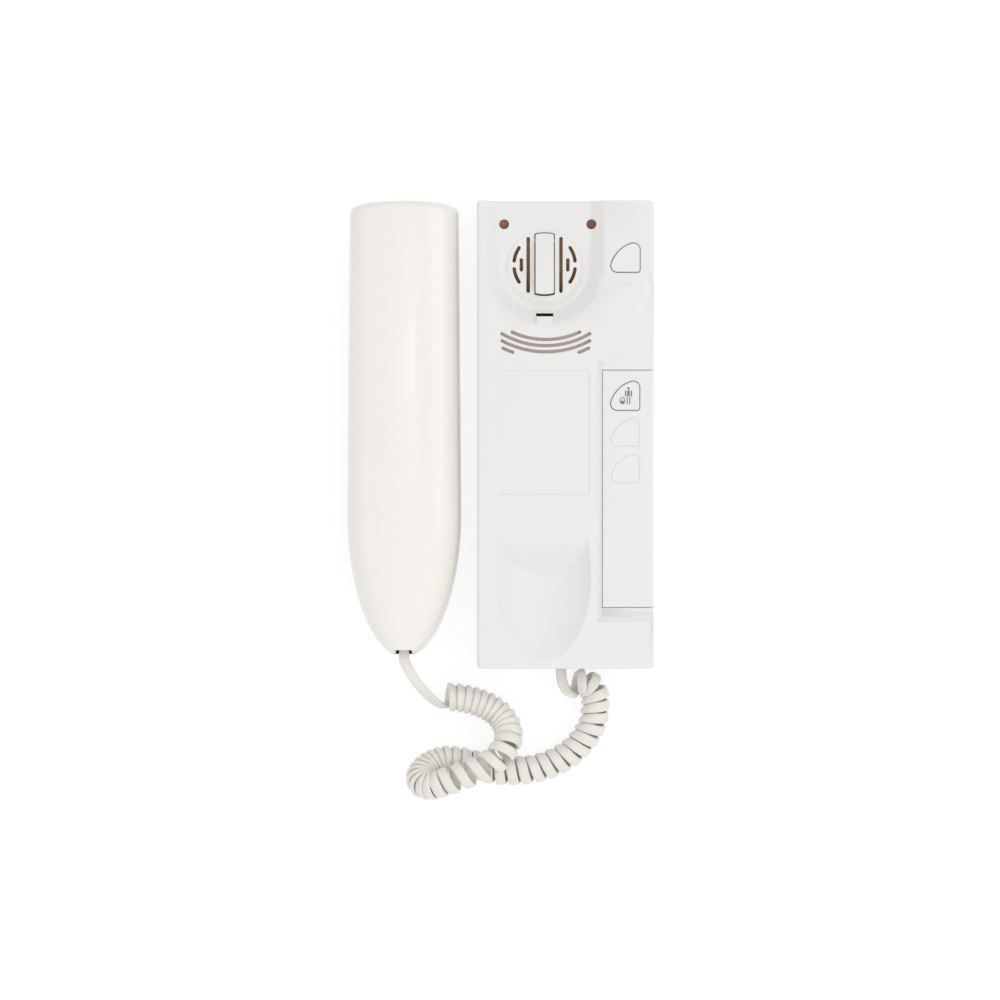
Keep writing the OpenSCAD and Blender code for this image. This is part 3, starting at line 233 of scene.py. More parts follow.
def raise_grain(tree, shader, source, depth, strength=1.0):
    """Fine relief on the shader's normal."""
    bump = tree.nodes.new("ShaderNodeBump")
    bump.inputs["Strength"].default_value = strength
    bump.inputs["Distance"].default_value = depth
    tree.links.new(source, bump.inputs["Height"])
    tree.links.new(bump.outputs["Normal"], shader.inputs["Normal"])


def moulded_plastic(name, colour, roughness, grain_scale, grain_depth, drift):
    """Moulded plastic: slow drift in tone and gloss, and a fine tool texture."""
    change = 0.07
    material, tree, shader = finish_base(name)
    slow = object_noise(tree, 28)
    tree.links.new(tone(tree, slow, colour, drift), shader.inputs["Base Color"])
    gloss = spread(tree, object_noise(tree, 90), roughness - change, roughness + change)
    tree.links.new(gloss, shader.inputs["Roughness"])
    raise_grain(tree, shader, object_noise(tree, grain_scale, 2), grain_depth)
    shader.inputs["IOR"].default_value = PLASTIC_IOR
    return material


def polished_plastic(name, colour, roughness):
    """Smooth plastic out of a polished tool: only a slow drift in tone and gloss."""
    change = 0.03
    material, tree, shader = finish_base(name)
    tree.links.new(tone(tree, object_noise(tree, 9, 1), colour, 0.008), shader.inputs["Base Color"])
    gloss = spread(tree, object_noise(tree, 14, 1), roughness - change, roughness + change)
    tree.links.new(gloss, shader.inputs["Roughness"])
    shader.inputs["IOR"].default_value = PLASTIC_IOR
    return material


def board_laminate(name, colour):
    """Brown paper laminate with fine fibres."""
    material, tree, shader = finish_base(name)
    fibres = object_noise(tree, 900, 4, (1, 0.2, 1))
    tree.links.new(tone(tree, fibres, colour, 0.12), shader.inputs["Base Color"])
    raise_grain(tree, shader, fibres, 0.02 * MM)
    shader.inputs["Roughness"].default_value = 0.85
    shader.inputs["Specular IOR Level"].default_value = 0.2
    return material


def brushed_steel(name):
    """Zinc-plated steel with fine brushing."""
    zinc = (0.62, 0.62, 0.63)
    material, tree, shader = finish_base(name)
    lines = object_noise(tree, 1500, 2, (1, 0.08, 1))
    tree.links.new(tone(tree, lines, zinc, 0.06), shader.inputs["Base Color"])
    tree.links.new(spread(tree, lines, 0.18, 0.44), shader.inputs["Roughness"])
    raise_grain(tree, shader, lines, 0.006 * MM)
    shader.inputs["Metallic"].default_value = 1
    return material


def pressed_paper(name, colour):
    """Soft pressed paper."""
    material, tree, shader = finish_base(name)
    fibres = object_noise(tree, 1300, 5)
    tree.links.new(tone(tree, fibres, colour, 0.1), shader.inputs["Base Color"])
    raise_grain(tree, shader, fibres, 0.04 * MM)
    shader.inputs["Roughness"].default_value = 0.9
    return material


def cord_jacket(name, colour):
    """Soft satin jacket of the cord."""
    material, tree, shader = finish_base(name)
    slow = object_noise(tree, 60)
    tree.links.new(tone(tree, slow, colour, 0.015), shader.inputs["Base Color"])
    tree.links.new(spread(tree, object_noise(tree, 220), 0.3, 0.52), shader.inputs["Roughness"])
    raise_grain(tree, shader, object_noise(tree, 1400, 2), 0.006 * MM)
    shader.inputs["IOR"].default_value = 1.5
    return material


# Nodes of the frame that each finish goes on
FINISHED = {
    "base_plastic": ["front_cover", "back_plate", "button_strip", "hook_lever"],
    "button_plastic": ["door_button", "call_button"],
    "handset_plastic": ["handset_back_shell", "handset_front_shell"],
    "cord_jacket": ["curly_cord"],
    "board_laminate": ["circuit_board"],
    "steel": ["board_screws", "call_speaker", "hook_pivot_pin", "terminal_screws", "cover_screw",
              "handset_screws", "microphone_capsule"],
    "black_plastic": ["hook_switch", "door_switch", "call_switch", "base_cord_socket", "handset_cord_socket",
                      "earpiece_capsule"],
    "red_plastic": ["hook_switch_plunger", "door_switch_plunger", "call_switch_plunger"],
    "terminal_plastic": ["terminal_block"],
    "cone_paper": ["speaker_cone"],
    "soft_rubber": ["earpiece_gasket", "microphone_boot"],
    "plug_plastic": ["base_cord_plug", "handset_cord_plug"],
}
# Colour, roughness, grain in turns per metre, depth of the grain and drift in tone of the moulded plastics
MOULDED = {
    "base_plastic": ("base", 0.46, 2400, 0.005 * MM, 0.015),
    "button_plastic": ("button", 0.42, 2400, 0.004 * MM, 0.015),
    "black_plastic": ("switch", 0.45, 1800, 0.02 * MM, 0.1),
    "red_plastic": ("plunger", 0.35, 1800, 0.01 * MM, 0.06),
    "terminal_plastic": ("terminal", 0.42, 1800, 0.01 * MM, 0.06),
    "soft_rubber": ("rubber", 0.75, 1500, 0.03 * MM, 0.08),
    "sign_ink": ("sign", 0.5, 2000, 0.002 * MM, 0.03),
}
# Colour and roughness of the polished plastics
POLISHED = {
    "handset_plastic": ("handset", 0.19),
    "plug_plastic": ("plug", 0.2),
}


def finish_of(slot):
    """The finish of a slot, made once."""
    name = f"{slot}_finish"
    if name in bpy.data.materials:
        return bpy.data.materials[name]
    colours = bpy.context.scene.intercom_colours
    if slot in MOULDED:
        colour, *surface = MOULDED[slot]
        return moulded_plastic(name, getattr(colours, colour), *surface)
    if slot in POLISHED:
        colour, roughness = POLISHED[slot]
        return polished_plastic(name, getattr(colours, colour), roughness)
    if slot == "cord_jacket":
        return cord_jacket(name, colours.cord)
    if slot == "board_laminate":
        return board_laminate(name, colours.board)
    if slot == "cone_paper":
        return pressed_paper(name, colours.paper)
    if slot == "steel":
        return brushed_steel(name)
    raise ValueError(f"no finish is called {slot}")


# Mesh helpers

def add_piece(name, mesh_maker, body, slot, *nodes):
    """New piece from a filled bmesh: it rides on a body, has a slot's finish and stands for CAD nodes."""
    mesh = bpy.data.meshes.new(name)
    mesh_maker.to_mesh(mesh)
    mesh_maker.free()
    piece = bpy.data.objects.new(name, mesh)
    bpy.context.scene.collection.objects.link(piece)
    mesh.materials.append(finish_of(slot))
    if body:
        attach(piece, body)
    if nodes:
        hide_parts(*nodes)
    return piece


def smooth_by_angle(piece, degrees):
    """Smooth shading that breaks at edges sharper than that."""
    piece.data.shade_smooth()
    piece.data.set_sharp_from_angle(angle=math.radians(degrees))


def round_over(maker, edges, width, segments):
    """Round edges over that width."""
    bmesh.ops.bevel(
        maker, geom=edges, offset=width, offset_type="OFFSET", segments=segments, profile=0.5,
        affect="EDGES", clamp_overlap=False, material=-1)


# Mouldings

# Centre of the ear rest in plan
EAR_CENTRE = (-0.0099, 0.0815)
# Upward share of its wall's normals, the wall's plan distance from the centre and the height of its foot
EAR_WALL_SLOPES = (0.6, 0.85)
EAR_WALL_RADII = (22 * MM, 29 * MM)
EAR_WALL_FOOT = 26 * MM
# Group of a moulding's points whose normals are evened
EVENED = "evened"

# Body, slot and rounding of each moulded node
MOULDINGS = {
    "front_cover": ("base", "base_plastic", "rounding"),
    "back_plate": ("base", "base_plastic", "fine_rounding"),
    "button_strip": ("base", "base_plastic", "fine_rounding"),
    "hook_lever": ("hook", "base_plastic", "rounding"),
    "door_button": ("door_key", "button_plastic", "rounding"),
    "call_button": ("call_key", "button_plastic", "rounding"),
    "handset_front_shell": ("handset", "handset_plastic", "rounding"),
}


def even_normals(piece):
    """Keep large flat faces flat beside their narrow roundings."""
    weighting = piece.modifiers.new("even_normals", "WEIGHTED_NORMAL")
    weighting.mode = "FACE_AREA"
    weighting.weight = 50
    weighting.keep_sharp = True
    if EVENED in piece.vertex_groups:
        weighting.vertex_group = EVENED


class INTERCOM_OT_mouldings(bpy.types.Operator):
    """Round the edges of the moulded pieces as they come out of their tools"""
    bl_idname = "intercom.mouldings"
    bl_label = "Mouldings"

    def execute(self, context):
        details = context.scene.intercom_details
        same_place = 0.002 * MM
        same_plane = math.radians(0.6)
        for node, (body, slot, rounding) in MOULDINGS.items():
            maker = bmesh.new()
            maker.from_mesh(NODES[node].data)
            bmesh.ops.remove_doubles(maker, verts=maker.verts, dist=same_place)
            bmesh.ops.dissolve_limit(maker, angle_limit=same_plane, verts=maker.verts, edges=maker.edges)
            if node == "front_cover":
                self.soften_channel(maker, details.channel_roll)
            self.round_edges(maker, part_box(node), getattr(details, rounding))
            piece = add_piece(f"{node}_moulding", maker, body, slot, node)
            smooth_by_angle(piece, degrees=33)
            if node == "front_cover":
                self.smooth_ear_wall(piece)
            even_normals(piece)
        return {"FINISHED"}

    def smooth_ear_wall(self, piece):
        """Give the wall of the ear rest the normals of a true cone with straight sides above it."""
        mesh = piece.data
        normals = [Vector(corner.vector) for corner in mesh.corner_normals]
        wall = set()
        for face in mesh.polygons:
            if not self.on_ear_wall(face):
                continue
            for corner in face.loop_indices:
                vert = mesh.vertices[mesh.loops[corner].vertex_index]
                inward = self.towards_ear(vert.co).normalized() * math.sqrt(1 - face.normal.z ** 2)
                normals[corner] = Vector((inward.x, inward.y, face.normal.z))
                wall.add(vert.index)
        mesh.normals_split_custom_set(normals)
        others = piece.vertex_groups.new(name=EVENED)
        others.add([vert.index for vert in mesh.vertices if vert.index not in wall], 1, "REPLACE")

    def on_ear_wall(self, face):
        """True for a face of the sloping wall round the ear rest."""
        steep, gentle = EAR_WALL_SLOPES
        near, far = EAR_WALL_RADII
        sloping = steep < face.normal.z < gentle and face.center.z >= EAR_WALL_FOOT
        return sloping and near < self.towards_ear(face.center).length < far

    def towards_ear(self, place):
        """Way in plan from a place to the ear rest's centre, or straight across to its axis above that."""
        return Vector((EAR_CENTRE[0] - place.x, max(0, EAR_CENTRE[1] - place.y)))

    def soften_channel(self, maker, width):
        """Round the curved upper end of the side channel over into the front face."""
        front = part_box("front_cover")[1][2]
        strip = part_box("button_strip")
        left = strip[0][0] - 2 * MM
        low = strip[1][1] + 1 * MM
        near_front = 0.1 * MM
        least_turn = math.radians(33)
        most_turn = math.radians(48)
        edges = [
            edge for edge in maker.edges
            if least_turn < edge.calc_face_angle(0) < most_turn
            and all(vert.co.x > left and low < vert.co.y < EAR_CENTRE[1] for vert in edge.verts)
            and all(vert.co.z > front - near_front for vert in edge.verts)
        ]
        round_over(maker, edges, width, 4)

    def round_edges(self, maker, box, width):
        """Round the sharp convex edges on the outside whose faces are wide enough."""
        sharp = math.radians(60)
        room = 1.3
        edges = [
            edge for edge in maker.edges
            if edge.is_convex and edge.calc_face_angle(0) > sharp and self.is_outer(edge, box)
            and all(face.calc_area() > room * width * edge.calc_length() for face in edge.link_faces)
        ]
        round_over(maker, edges, width, 3)

    def is_outer(self, edge, box):
        """True for an edge near the top of the box or on one of its sides."""
        near_top = 4.6 * MM
        near_side = 0.1 * MM
        low, high = box
        if all(vert.co.z > high[2] - near_top for vert in edge.verts):
            return True
        for axis in (0, 1):
            for side in (low[axis], high[axis]):
                if all(abs(vert.co[axis] - side) < near_side for vert in edge.verts):
                    return True
        return False


# Handset back

def taper_at(sizes, distance):
    """Share of the full width that far from the upper end."""
    tip_cut = 1 * MM
    left = sizes.length + tip_cut - distance
    return 1.0 if left >= sizes.taper else math.sqrt(1 - (1 - left / sizes.taper) ** 2)


def half_width_at(sizes, distance):
    """Half of the handset's width that far from the upper end."""
    grown = min(1, distance / (sizes.length - sizes.taper))
    cap = 1.0 if distance >= sizes.cap else (1 - (1 - distance / sizes.cap) ** 4) ** 0.25
    return (sizes.top_width + (sizes.width - sizes.top_width) * grown) / 2 * taper_at(sizes, distance) * cap


def crown_height_at(sizes, distance):
    """Height of the crown over the parting line that far from the upper end."""
    rise_length = 100 * MM
    start_share = 0.94
    end_share = 0.8
    risen = math.sin(math.pi / 2 * min(1, distance / rise_length))
    long_rise = start_share + (1 - start_share) * risen
    near = min(1, 2 * distance / sizes.cap)
    cap = end_share + (1 - end_share) * math.sqrt(1 - (1 - near) ** 2)
    return sizes.crown * (0.5 + 0.5 * taper_at(sizes, distance)) * long_rise * cap


def handset_stations(sizes):
    """Distances of the sections from the upper end, each with its share of the full section."""
    first = 0.05 * MM
    end_shares = (0.02, 0.3, 0.6, 0.85)
    cap_steps = 15
    long_steps = 36
    straight = sizes.length - sizes.taper - sizes.cap
    stations = [(first, share) for share in end_shares]
    for k in range(cap_steps + 1):
        eased = 1 - math.cos(math.pi / 2 * k / cap_steps)
        stations.append((first + (sizes.cap - first) * eased, 1))
    for k in range(1, long_steps + 1):
        stations.append((sizes.cap + straight * k / long_steps, 1))
    for k in range(1, long_steps + 1):
        eased = math.sin(math.pi / 2 * k / long_steps)
        stations.append((sizes.length - sizes.taper * (1 - eased), 1))
    return stations


class INTERCOM_OT_handset_back(bpy.types.Operator):
    """Loft the crowned back of the handset and cut its cord notch"""
    bl_idname = "intercom.handset_back"
    bl_label = "Handset back"

    def execute(self, context):
        sizes = context.scene.intercom_handset
        stations = handset_stations(sizes)
        columns = sizes.arch_points - 1
        rows = len(stations) - 1
        maker = bmesh.new()
        bmesh.ops.create_grid(maker, x_segments=columns, y_segments=rows, size=1)
        for vert in maker.verts:
            turn = math.pi * (1 - vert.co.x) / 2
            distance, share = stations[round((1 + vert.co.y) / 2 * rows)]
            vert.co = self.section_point(sizes, distance, share, turn)
        bmesh.ops.remove_doubles(maker, verts=maker.verts, dist=0.02 * MM)
        self.cut_notch(maker, sizes)
        bmesh.ops.recalc_face_normals(maker, faces=maker.faces)
        bmesh.ops.solidify(maker, geom=maker.faces[:], thickness=sizes.wall)
        piece = add_piece("handset_back", maker, "handset", "handset_plastic", "handset_back_shell")
        smooth_by_angle(piece, degrees=40)
        return {"FINISHED"}

    def section_point(self, sizes, distance, share, turn):
        """Point on the arched section at a distance from the upper end."""
        c = math.cos(turn)
        s = math.sin(turn)
        across = share * half_width_at(sizes, distance) * math.copysign(abs(c) ** SECTION_POWER, c)
        rise = share * crown_height_at(sizes, distance) * abs(s) ** SECTION_POWER
        return Vector((sizes.middle + across, sizes.top - distance, sizes.parting + rise))

    def cut_notch(self, maker, sizes):
        """Cut the cord notch out of the lower end."""
        tip = sizes.top - sizes.length
        end = tip + sizes.notch_depth
        half = sizes.notch_width / 2
        reach = 8 * MM
        planes = [
            ((sizes.middle - half, 0, 0), (1, 0, 0)), ((sizes.middle + half, 0, 0), (1, 0, 0)),
            ((0, end, 0), (0, 1, 0)),
        ]
        for place, way in planes:
            near = [face for face in maker.faces if face.calc_center_median().y < end + reach]
            edges = list({edge for face in near for edge in face.edges})
            verts = list({vert for face in near for vert in face.verts})
            bmesh.ops.bisect_plane(maker, geom=near + edges + verts, dist=1e-7, plane_co=place, plane_no=way)
        cut = [
            face for face in maker.faces
            if face.calc_center_median().y < end and abs(face.calc_center_median().x - sizes.middle) < half]
        bmesh.ops.delete(maker, geom=cut, context="FACES")


# Screws and signs

def cross_screw(maker, place, turn, head_radius, head_height, shank_radius, shank_length):
    """Cross-head screw whose head faces +Z before it is turned and put in its place."""
    steps = [-1, -0.62, -0.15, 0.15, 0.62, 1]
    grid = bmesh.ops.create_grid(maker, x_segments=5, y_segments=5, size=1)["verts"]
    for vert in grid:
        x = steps[round((vert.co.x + 1) * 2.5)]
        y = steps[round((vert.co.y + 1) * 2.5)]
        flat = Vector((x, y, 0))
        if max(abs(x), abs(y)) == 1:
            flat = flat.normalized()
        vert.co = flat * head_radius
    top = list({face for vert in grid for face in vert.link_faces})
    rim = [edge for edge in {edge for face in top for edge in face.edges} if edge.is_boundary]
    arm = 0.4 * head_radius
    slim = 0.16 * head_radius
    depth = 0.7 * head_height
    narrowed = 0.7
    cross = []
    for face in top:
        near, far = sorted(abs(value) for value in face.calc_center_median().to_2d())
        if near < slim and far < arm + slim:
            cross.append(face)
    walls = bmesh.ops.extrude_face_region(maker, geom=cross)["geom"]
    sunk = [item for item in walls if isinstance(item, bmesh.types.BMVert)]
    bmesh.ops.delete(maker, geom=cross, context="FACES_ONLY")
    bmesh.ops.translate(maker, verts=sunk, vec=(0, 0, -depth))
    bmesh.ops.scale(maker, verts=sunk, vec=(narrowed, narrowed, 1))
    skirt = bmesh.ops.extrude_edge_only(maker, edges=rim)["geom"]
    low = [item for item in skirt if isinstance(item, bmesh.types.BMVert)]
    bmesh.ops.translate(maker, verts=low, vec=(0, 0, -head_height))
    under = [item for item in skirt if isinstance(item, bmesh.types.BMEdge)]
    bmesh.ops.contextual_create(maker, geom=under)
    shank = bmesh.ops.create_cone(
        maker, cap_ends=True, segments=20, radius1=shank_radius, radius2=shank_radius, depth=shank_length)
    overlap = 0.05 * MM
    bmesh.ops.translate(
        maker, verts=shank["verts"], vec=(0, 0, overlap - head_height - shank_length / 2))
    made = set(grid) | set(sunk) | set(low) | set(shank["verts"])
    edge_top = [edge for edge in rim if edge.is_valid]
    bmesh.ops.transform(maker, matrix=Matrix.Translation(place) @ turn, verts=list(made))
    round_over(maker, edge_top, 0.3 * head_height, 3)


class INTERCOM_OT_screws(bpy.types.Operator):
    """Make the cross-head screws in the lower edge and in the handset's face"""
    bl_idname = "intercom.screws"
    bl_label = "Screws"

    def execute(self, context):
        details = context.scene.intercom_details
        sizes = (details.screw_head, details.head_height, details.screw_shank, details.shank_length)
        maker = bmesh.new()
        low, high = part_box("cover_screw")
        place = Vector(((low[0] + high[0]) / 2, low[1], (low[2] + high[2]) / 2))
        cross_screw(maker, place, Matrix.Rotation(math.pi / 2, 4, "X"), *sizes)
        self.add("edge_screw", maker, "base", "cover_screw")
        maker = bmesh.new()
        low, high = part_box("handset_screws")
        middle = (low[0] + high[0]) / 2
        for y in (low[1] + details.screw_head, high[1] - details.screw_head):
            cross_screw(maker, Vector((middle, y, low[2])), Matrix.Rotation(math.pi, 4, "X"), *sizes)
        self.add("face_screws", maker, "handset", "handset_screws")
        return {"FINISHED"}

    def add(self, name, maker, body, node):
        """Close the screws' meshes and add them as a piece."""
        bmesh.ops.remove_doubles(maker, verts=maker.verts, dist=1e-6)
        bmesh.ops.recalc_face_normals(maker, faces=maker.faces)
        smooth_by_angle(add_piece(name, maker, body, "steel", node), degrees=35)


# Middles of the two signs in plan
CALLER_SIGN = (30.45 * MM, 18.45 * MM)
KEY_SIGN = (28.4 * MM, 72.3 * MM)


def flat_bar(maker, x, y, wide, tall):
    """Flat bar of a sign about its middle."""
    verts = bmesh.ops.create_grid(maker, x_segments=1, y_segments=1, size=0.5)["verts"]
    bmesh.ops.scale(maker, verts=verts, vec=(wide, tall, 1))
    bmesh.ops.translate(maker, verts=verts, vec=(x, y, 0))


def flat_disc(maker, x, y, radius, tall=1.0):
    """Flat disc of a sign, drawn out in height."""
    verts = bmesh.ops.create_circle(maker, cap_ends=True, segments=32, radius=radius)["verts"]
    bmesh.ops.scale(maker, verts=verts, vec=(1, tall, 1))
    bmesh.ops.translate(maker, verts=verts, vec=(x, y, 0))
    return verts


def flat_ring(maker, x, y, radius, thickness, tall=1.0):
    """Flat ring of a sign, drawn out in height."""
    verts = flat_disc(maker, x, y, radius, tall)
    face = verts[0].link_faces[0]
    bmesh.ops.inset_individual(maker, faces=[face], thickness=thickness)
    bmesh.ops.delete(maker, geom=[face], context="FACES")


def raise_sign(maker, place, rise):
    """Give the flat sign its thickness and put it in its place."""
    bmesh.ops.recalc_face_normals(maker, faces=maker.faces)
    for face in maker.faces:
        if face.normal.z < 0:
            face.normal_flip()
    grown = bmesh.ops.extrude_face_region(maker, geom=maker.faces[:], use_keep_orig=True)["geom"]
    top = [item for item in grown if isinstance(item, bmesh.types.BMVert)]
    bmesh.ops.translate(maker, verts=top, vec=(0, 0, rise))
    bmesh.ops.translate(maker, verts=maker.verts, vec=place)
    bmesh.ops.recalc_face_normals(maker, faces=maker.faces)


class INTERCOM_OT_signs(bpy.types.Operator):
    """Print the caller sign on the call button and raise the key sign under the door button"""
    bl_idname = "intercom.signs"
    bl_label = "Signs"

    def execute(self, context):
        details = context.scene.intercom_details
        sunk = 0.01 * MM
        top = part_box("call_button")[1][2]
        maker = bmesh.new()
        flat_disc(maker, 0, 3.9 * MM, 0.62 * MM)
        flat_bar(maker, 0, 1.55 * MM, 1.2 * MM, 2.7 * MM)
        for side in (-1, 1):
            flat_bar(maker, side * 1.38 * MM, 1.4 * MM, 0.62 * MM, 2.8 * MM)
            flat_bar(maker, side * 0.62 * MM, -1.9 * MM, 0.5 * MM, 3.8 * MM)
        flat_ring(maker, -2.9 * MM, -2.1 * MM, 1.35 * MM, 0.4 * MM, 1.3)
        flat_bar(maker, -2.9 * MM, -2.7 * MM, 1.5 * MM, 1.2 * MM)
        raise_sign(maker, (*CALLER_SIGN, top - sunk), details.ink + sunk)
        add_piece("caller_sign", maker, "call_key", "sign_ink")
        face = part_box("front_cover")[1][2]
        maker = bmesh.new()
        flat_ring(maker, -2.3 * MM, 0, 1.3 * MM, 0.5 * MM)
        flat_bar(maker, 1.2 * MM, 0, 4.6 * MM, 0.5 * MM)
        for tooth in (2.2 * MM, 3.2 * MM):
            flat_bar(maker, tooth, -0.6 * MM, 0.5 * MM, 0.9 * MM)
        raise_sign(maker, (*KEY_SIGN, face - sunk), details.key_rise + sunk)
        add_piece("key_sign", maker, "base", "base_plastic")
        return {"FINISHED"}


# Plan middle, depth under the front and size of the liner behind the call grille
GRILLE_LINER = ((-9.4 * MM, 44 * MM), 2.1 * MM, (50 * MM, 15 * MM))
# Distance from the lever, height up the base, depth under the front, size and tilt of each dust screen
EAR_SCREEN = (16.2 * MM, 85.5 * MM, 11.4 * MM, (18.6 * MM, 40 * MM), math.radians(7))


def liner_panel(maker, middle, size, tilt):
    """Flat panel of a liner about its middle, tilted about X."""
    verts = bmesh.ops.create_grid(maker, x_segments=8, y_segments=8, size=0.5)["verts"]
    bmesh.ops.scale(maker, verts=verts, vec=(size[0], size[1], 1))
    bmesh.ops.rotate(maker, verts=verts, cent=(0, 0, 0), matrix=Matrix.Rotation(tilt, 3, "X"))
    bmesh.ops.translate(maker, verts=verts, vec=middle)


class INTERCOM_OT_liners(bpy.types.Operator):
    """Lay the thin liners behind the call grille and behind the ear slots"""
    bl_idname = "intercom.liners"
    bl_label = "Liners"

    def execute(self, context):
        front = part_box("front_cover")[1][2]
        place, depth, size = GRILLE_LINER
        maker = bmesh.new()
        liner_panel(maker, (*place, front - depth), size, 0)
        self.add(context, "grille_liner", maker, "cone_paper")
        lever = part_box("hook_lever")
        middle = (lever[0][0] + lever[1][0]) / 2
        aside, up, depth, size, tilt = EAR_SCREEN
        maker = bmesh.new()
        for side in (-1, 1):
            liner_panel(maker, (middle + side * aside, up, front - depth), size, tilt)
        self.add(context, "ear_dust_screen", maker, "board_laminate")
        return {"FINISHED"}

    def add(self, context, name, maker, slot):
        """Thicken the panels and add them as a piece."""
        bmesh.ops.recalc_face_normals(maker, faces=maker.faces)
        bmesh.ops.solidify(maker, geom=maker.faces[:], thickness=context.scene.intercom_details.liner)
        bmesh.ops.recalc_face_normals(maker, faces=maker.faces)
        add_piece(name, maker, "base", slot)


# Curly cord

def spline_point(points, i, u):
    """Point on a smooth curve through the route, u along its span i."""
    a = points[max(i - 1, 0)]
    b = points[i]
    c = points[i + 1]
    d = points[min(i + 2, len(points) - 1)]
    square = (2 * a - 5 * b + 4 * c - d) * u ** 2
    cube = (3 * b - a - 3 * c + d) * u ** 3
    return 0.5 * (2 * b + (c - a) * u + square + cube)


def lookup(table, key):
    """Value at key in a sorted table of (key, value), straight between its rows."""
    low, high = 0, len(table) - 1
    if key >= table[high][0]:
        return table[high][1]
    while high - low > 1:
        middle = (low + high) // 2
        if table[middle][0] <= key:
            low = middle
        else:
            high = middle
    (k0, v0), (k1, v1) = table[low], table[high]
    return v0 + (v1 - v0) * (key - k0) / (k1 - k0)


class CoilAxis:
    """Axis of the coil, with a side direction carried along it without twist."""

    def __init__(self, route, steps=8):
        points = [Vector(p) for p in route]
        self.points = []
        for i in range(len(points) - 1):
            self.points += [spline_point(points, i, k / steps) for k in range(steps)]
        self.points.append(points[-1])
        self.last = len(self.points) - 1
        self.lengths = [0.0]
        for a, b in zip(self.points, self.points[1:]):
            self.lengths.append(self.lengths[-1] + (b - a).length)
        self.ways = [
            (self.points[min(i + 1, self.last)] - self.points[max(i - 1, 0)]).normalized()
            for i in range(self.last + 1)
        ]
        self.sides = [self.ways[0].cross(Vector((0, 0, 1))).normalized()]
        for way in self.ways[1:]:
            side = self.sides[-1] - self.sides[-1].dot(way) * way
            self.sides.append(side.normalized())
        self.index = [(s, i) for i, s in enumerate(self.lengths)]

    def mix(self, values, t):
        """Value between two points of the axis."""
        i = min(int(t), self.last - 1)
        return values[i].lerp(values[i + 1], t - i)

    def ring(self, s, angle, radius, lean):
        """Centre, width direction and thickness direction of the cord at a distance along the axis."""
        t = lookup(self.index, s)
        along = self.mix(self.ways, t).normalized()
        flat = self.mix(self.sides, t)
        side = (flat - flat.dot(along) * along).normalized()
        up = side.cross(along)
        out = math.cos(angle) * side - math.sin(angle) * up
        across = math.cos(lean) * along + math.sin(lean) * out
        through = math.cos(lean) * out - math.sin(lean) * along
        return self.mix(self.points, t) + radius * out, across, through


def lean_at(spacing, sizes):
    """Lean of the flat cord against the axis: curls that close up lie over one another like shingles."""
    open_at = 1.06 * sizes.width
    shut_at = 0.9 * sizes.width
    shingled = math.asin(min(0.95, 0.9 * sizes.thickness / min(spacing, shut_at)))
    share = min(1, max(0, (open_at - spacing) / (open_at - shut_at)))
    return FREE_LEAN + (shingled - FREE_LEAN) * share


def spacing_at(centres, n, rings):
    """Distance between neighbouring curls about ring n."""
    low = max(0, n - rings)
    high = min(len(centres) - 1, n + rings)
    turns = 2 if high - low == 2 * rings else 1
    if turns == 1 and low > 0:
        low = high - rings
    return (centres[low + turns * rings] - centres[low]).length / turns


def curl_rings(axis, sizes):
    """Rings of the coiled stretch, from its first curl to its last."""
    first_angle = math.radians(15)
    last_angle = math.radians(200)
    tuck_share = 0.3
    step = 1 / sizes.rings
    marks = [0.0]
    while marks[-1] < axis.lengths[-1]:
        marks.append(marks[-1] + lookup(CURL_PITCHES, marks[-1]) * step)
    spare = (last_angle - first_angle) / math.tau
    curls = math.floor((len(marks) - 1) * step - spare) + spare
    last = round(curls * sizes.rings)
    scale = axis.lengths[-1] / marks[last]
    places = [mark * scale for mark in marks[:last + 1]]
    angles = [first_angle + math.tau * n * step for n in range(last + 1)]
    radius = (sizes.curl_width - sizes.thickness) / 2
    centres = [axis.ring(s, angle, radius, 0)[0] for s, angle in zip(places, angles)]
    rings = []
    for n in range(last + 1):
        lean = lean_at(spacing_at(centres, n, sizes.rings), sizes)
        tucked = tuck_share * sizes.width * (math.sin(lean) - math.sin(FREE_LEAN))
        rings.append(axis.ring(places[n], angles[n], radius - tucked, lean))
    return rings


def turned(vector, axis, angle):
    """The vector turned about an axis."""
    return Matrix.Rotation(angle, 3, axis) @ vector


def lead_rings(start, end, following, pulls, count=40):
    """Rings of a lead from its plug to an end of the coil, straight first and then curved."""
    start = Vector(start)
    down = Vector((0, -1, 0))
    straight_run = 6 * MM
    straight = start + straight_run * down
    way = (end[0] - following[0]).normalized()
    p = [straight, straight + Vector(pulls[0]), end[0] + pulls[1] * way, end[0]]
    centres = [start]
    for k in range(count + 1):
        u = k / count
        v = 1 - u
        centres.append(v ** 3 * p[0] + 3 * u * v * v * p[1] + 3 * u * u * v * p[2] + u ** 3 * p[3])
    ways = [down]
    for k in range(1, count + 1):
        ways.append((centres[k + 1] - centres[k - 1]).normalized())
    ways.append(-way)
    flats = [Vector((1, 0, 0))]
    for a, b in zip(ways, ways[1:]):
        flats.append((a.rotation_difference(b) @ flats[-1]).normalized())
    twist = math.atan2(flats[-1].cross(end[1]).dot(ways[-1]), flats[-1].dot(end[1]))
    twist = (twist + math.pi / 2) % math.pi - math.pi / 2
    rings = []
    for k in range(count + 1):
        share = k / (count + 1)
        flat = turned(flats[k], ways[k], twist * share * share * (3 - 2 * share))
        rings.append((centres[k], flat, flat.cross(ways[k])))
    return rings


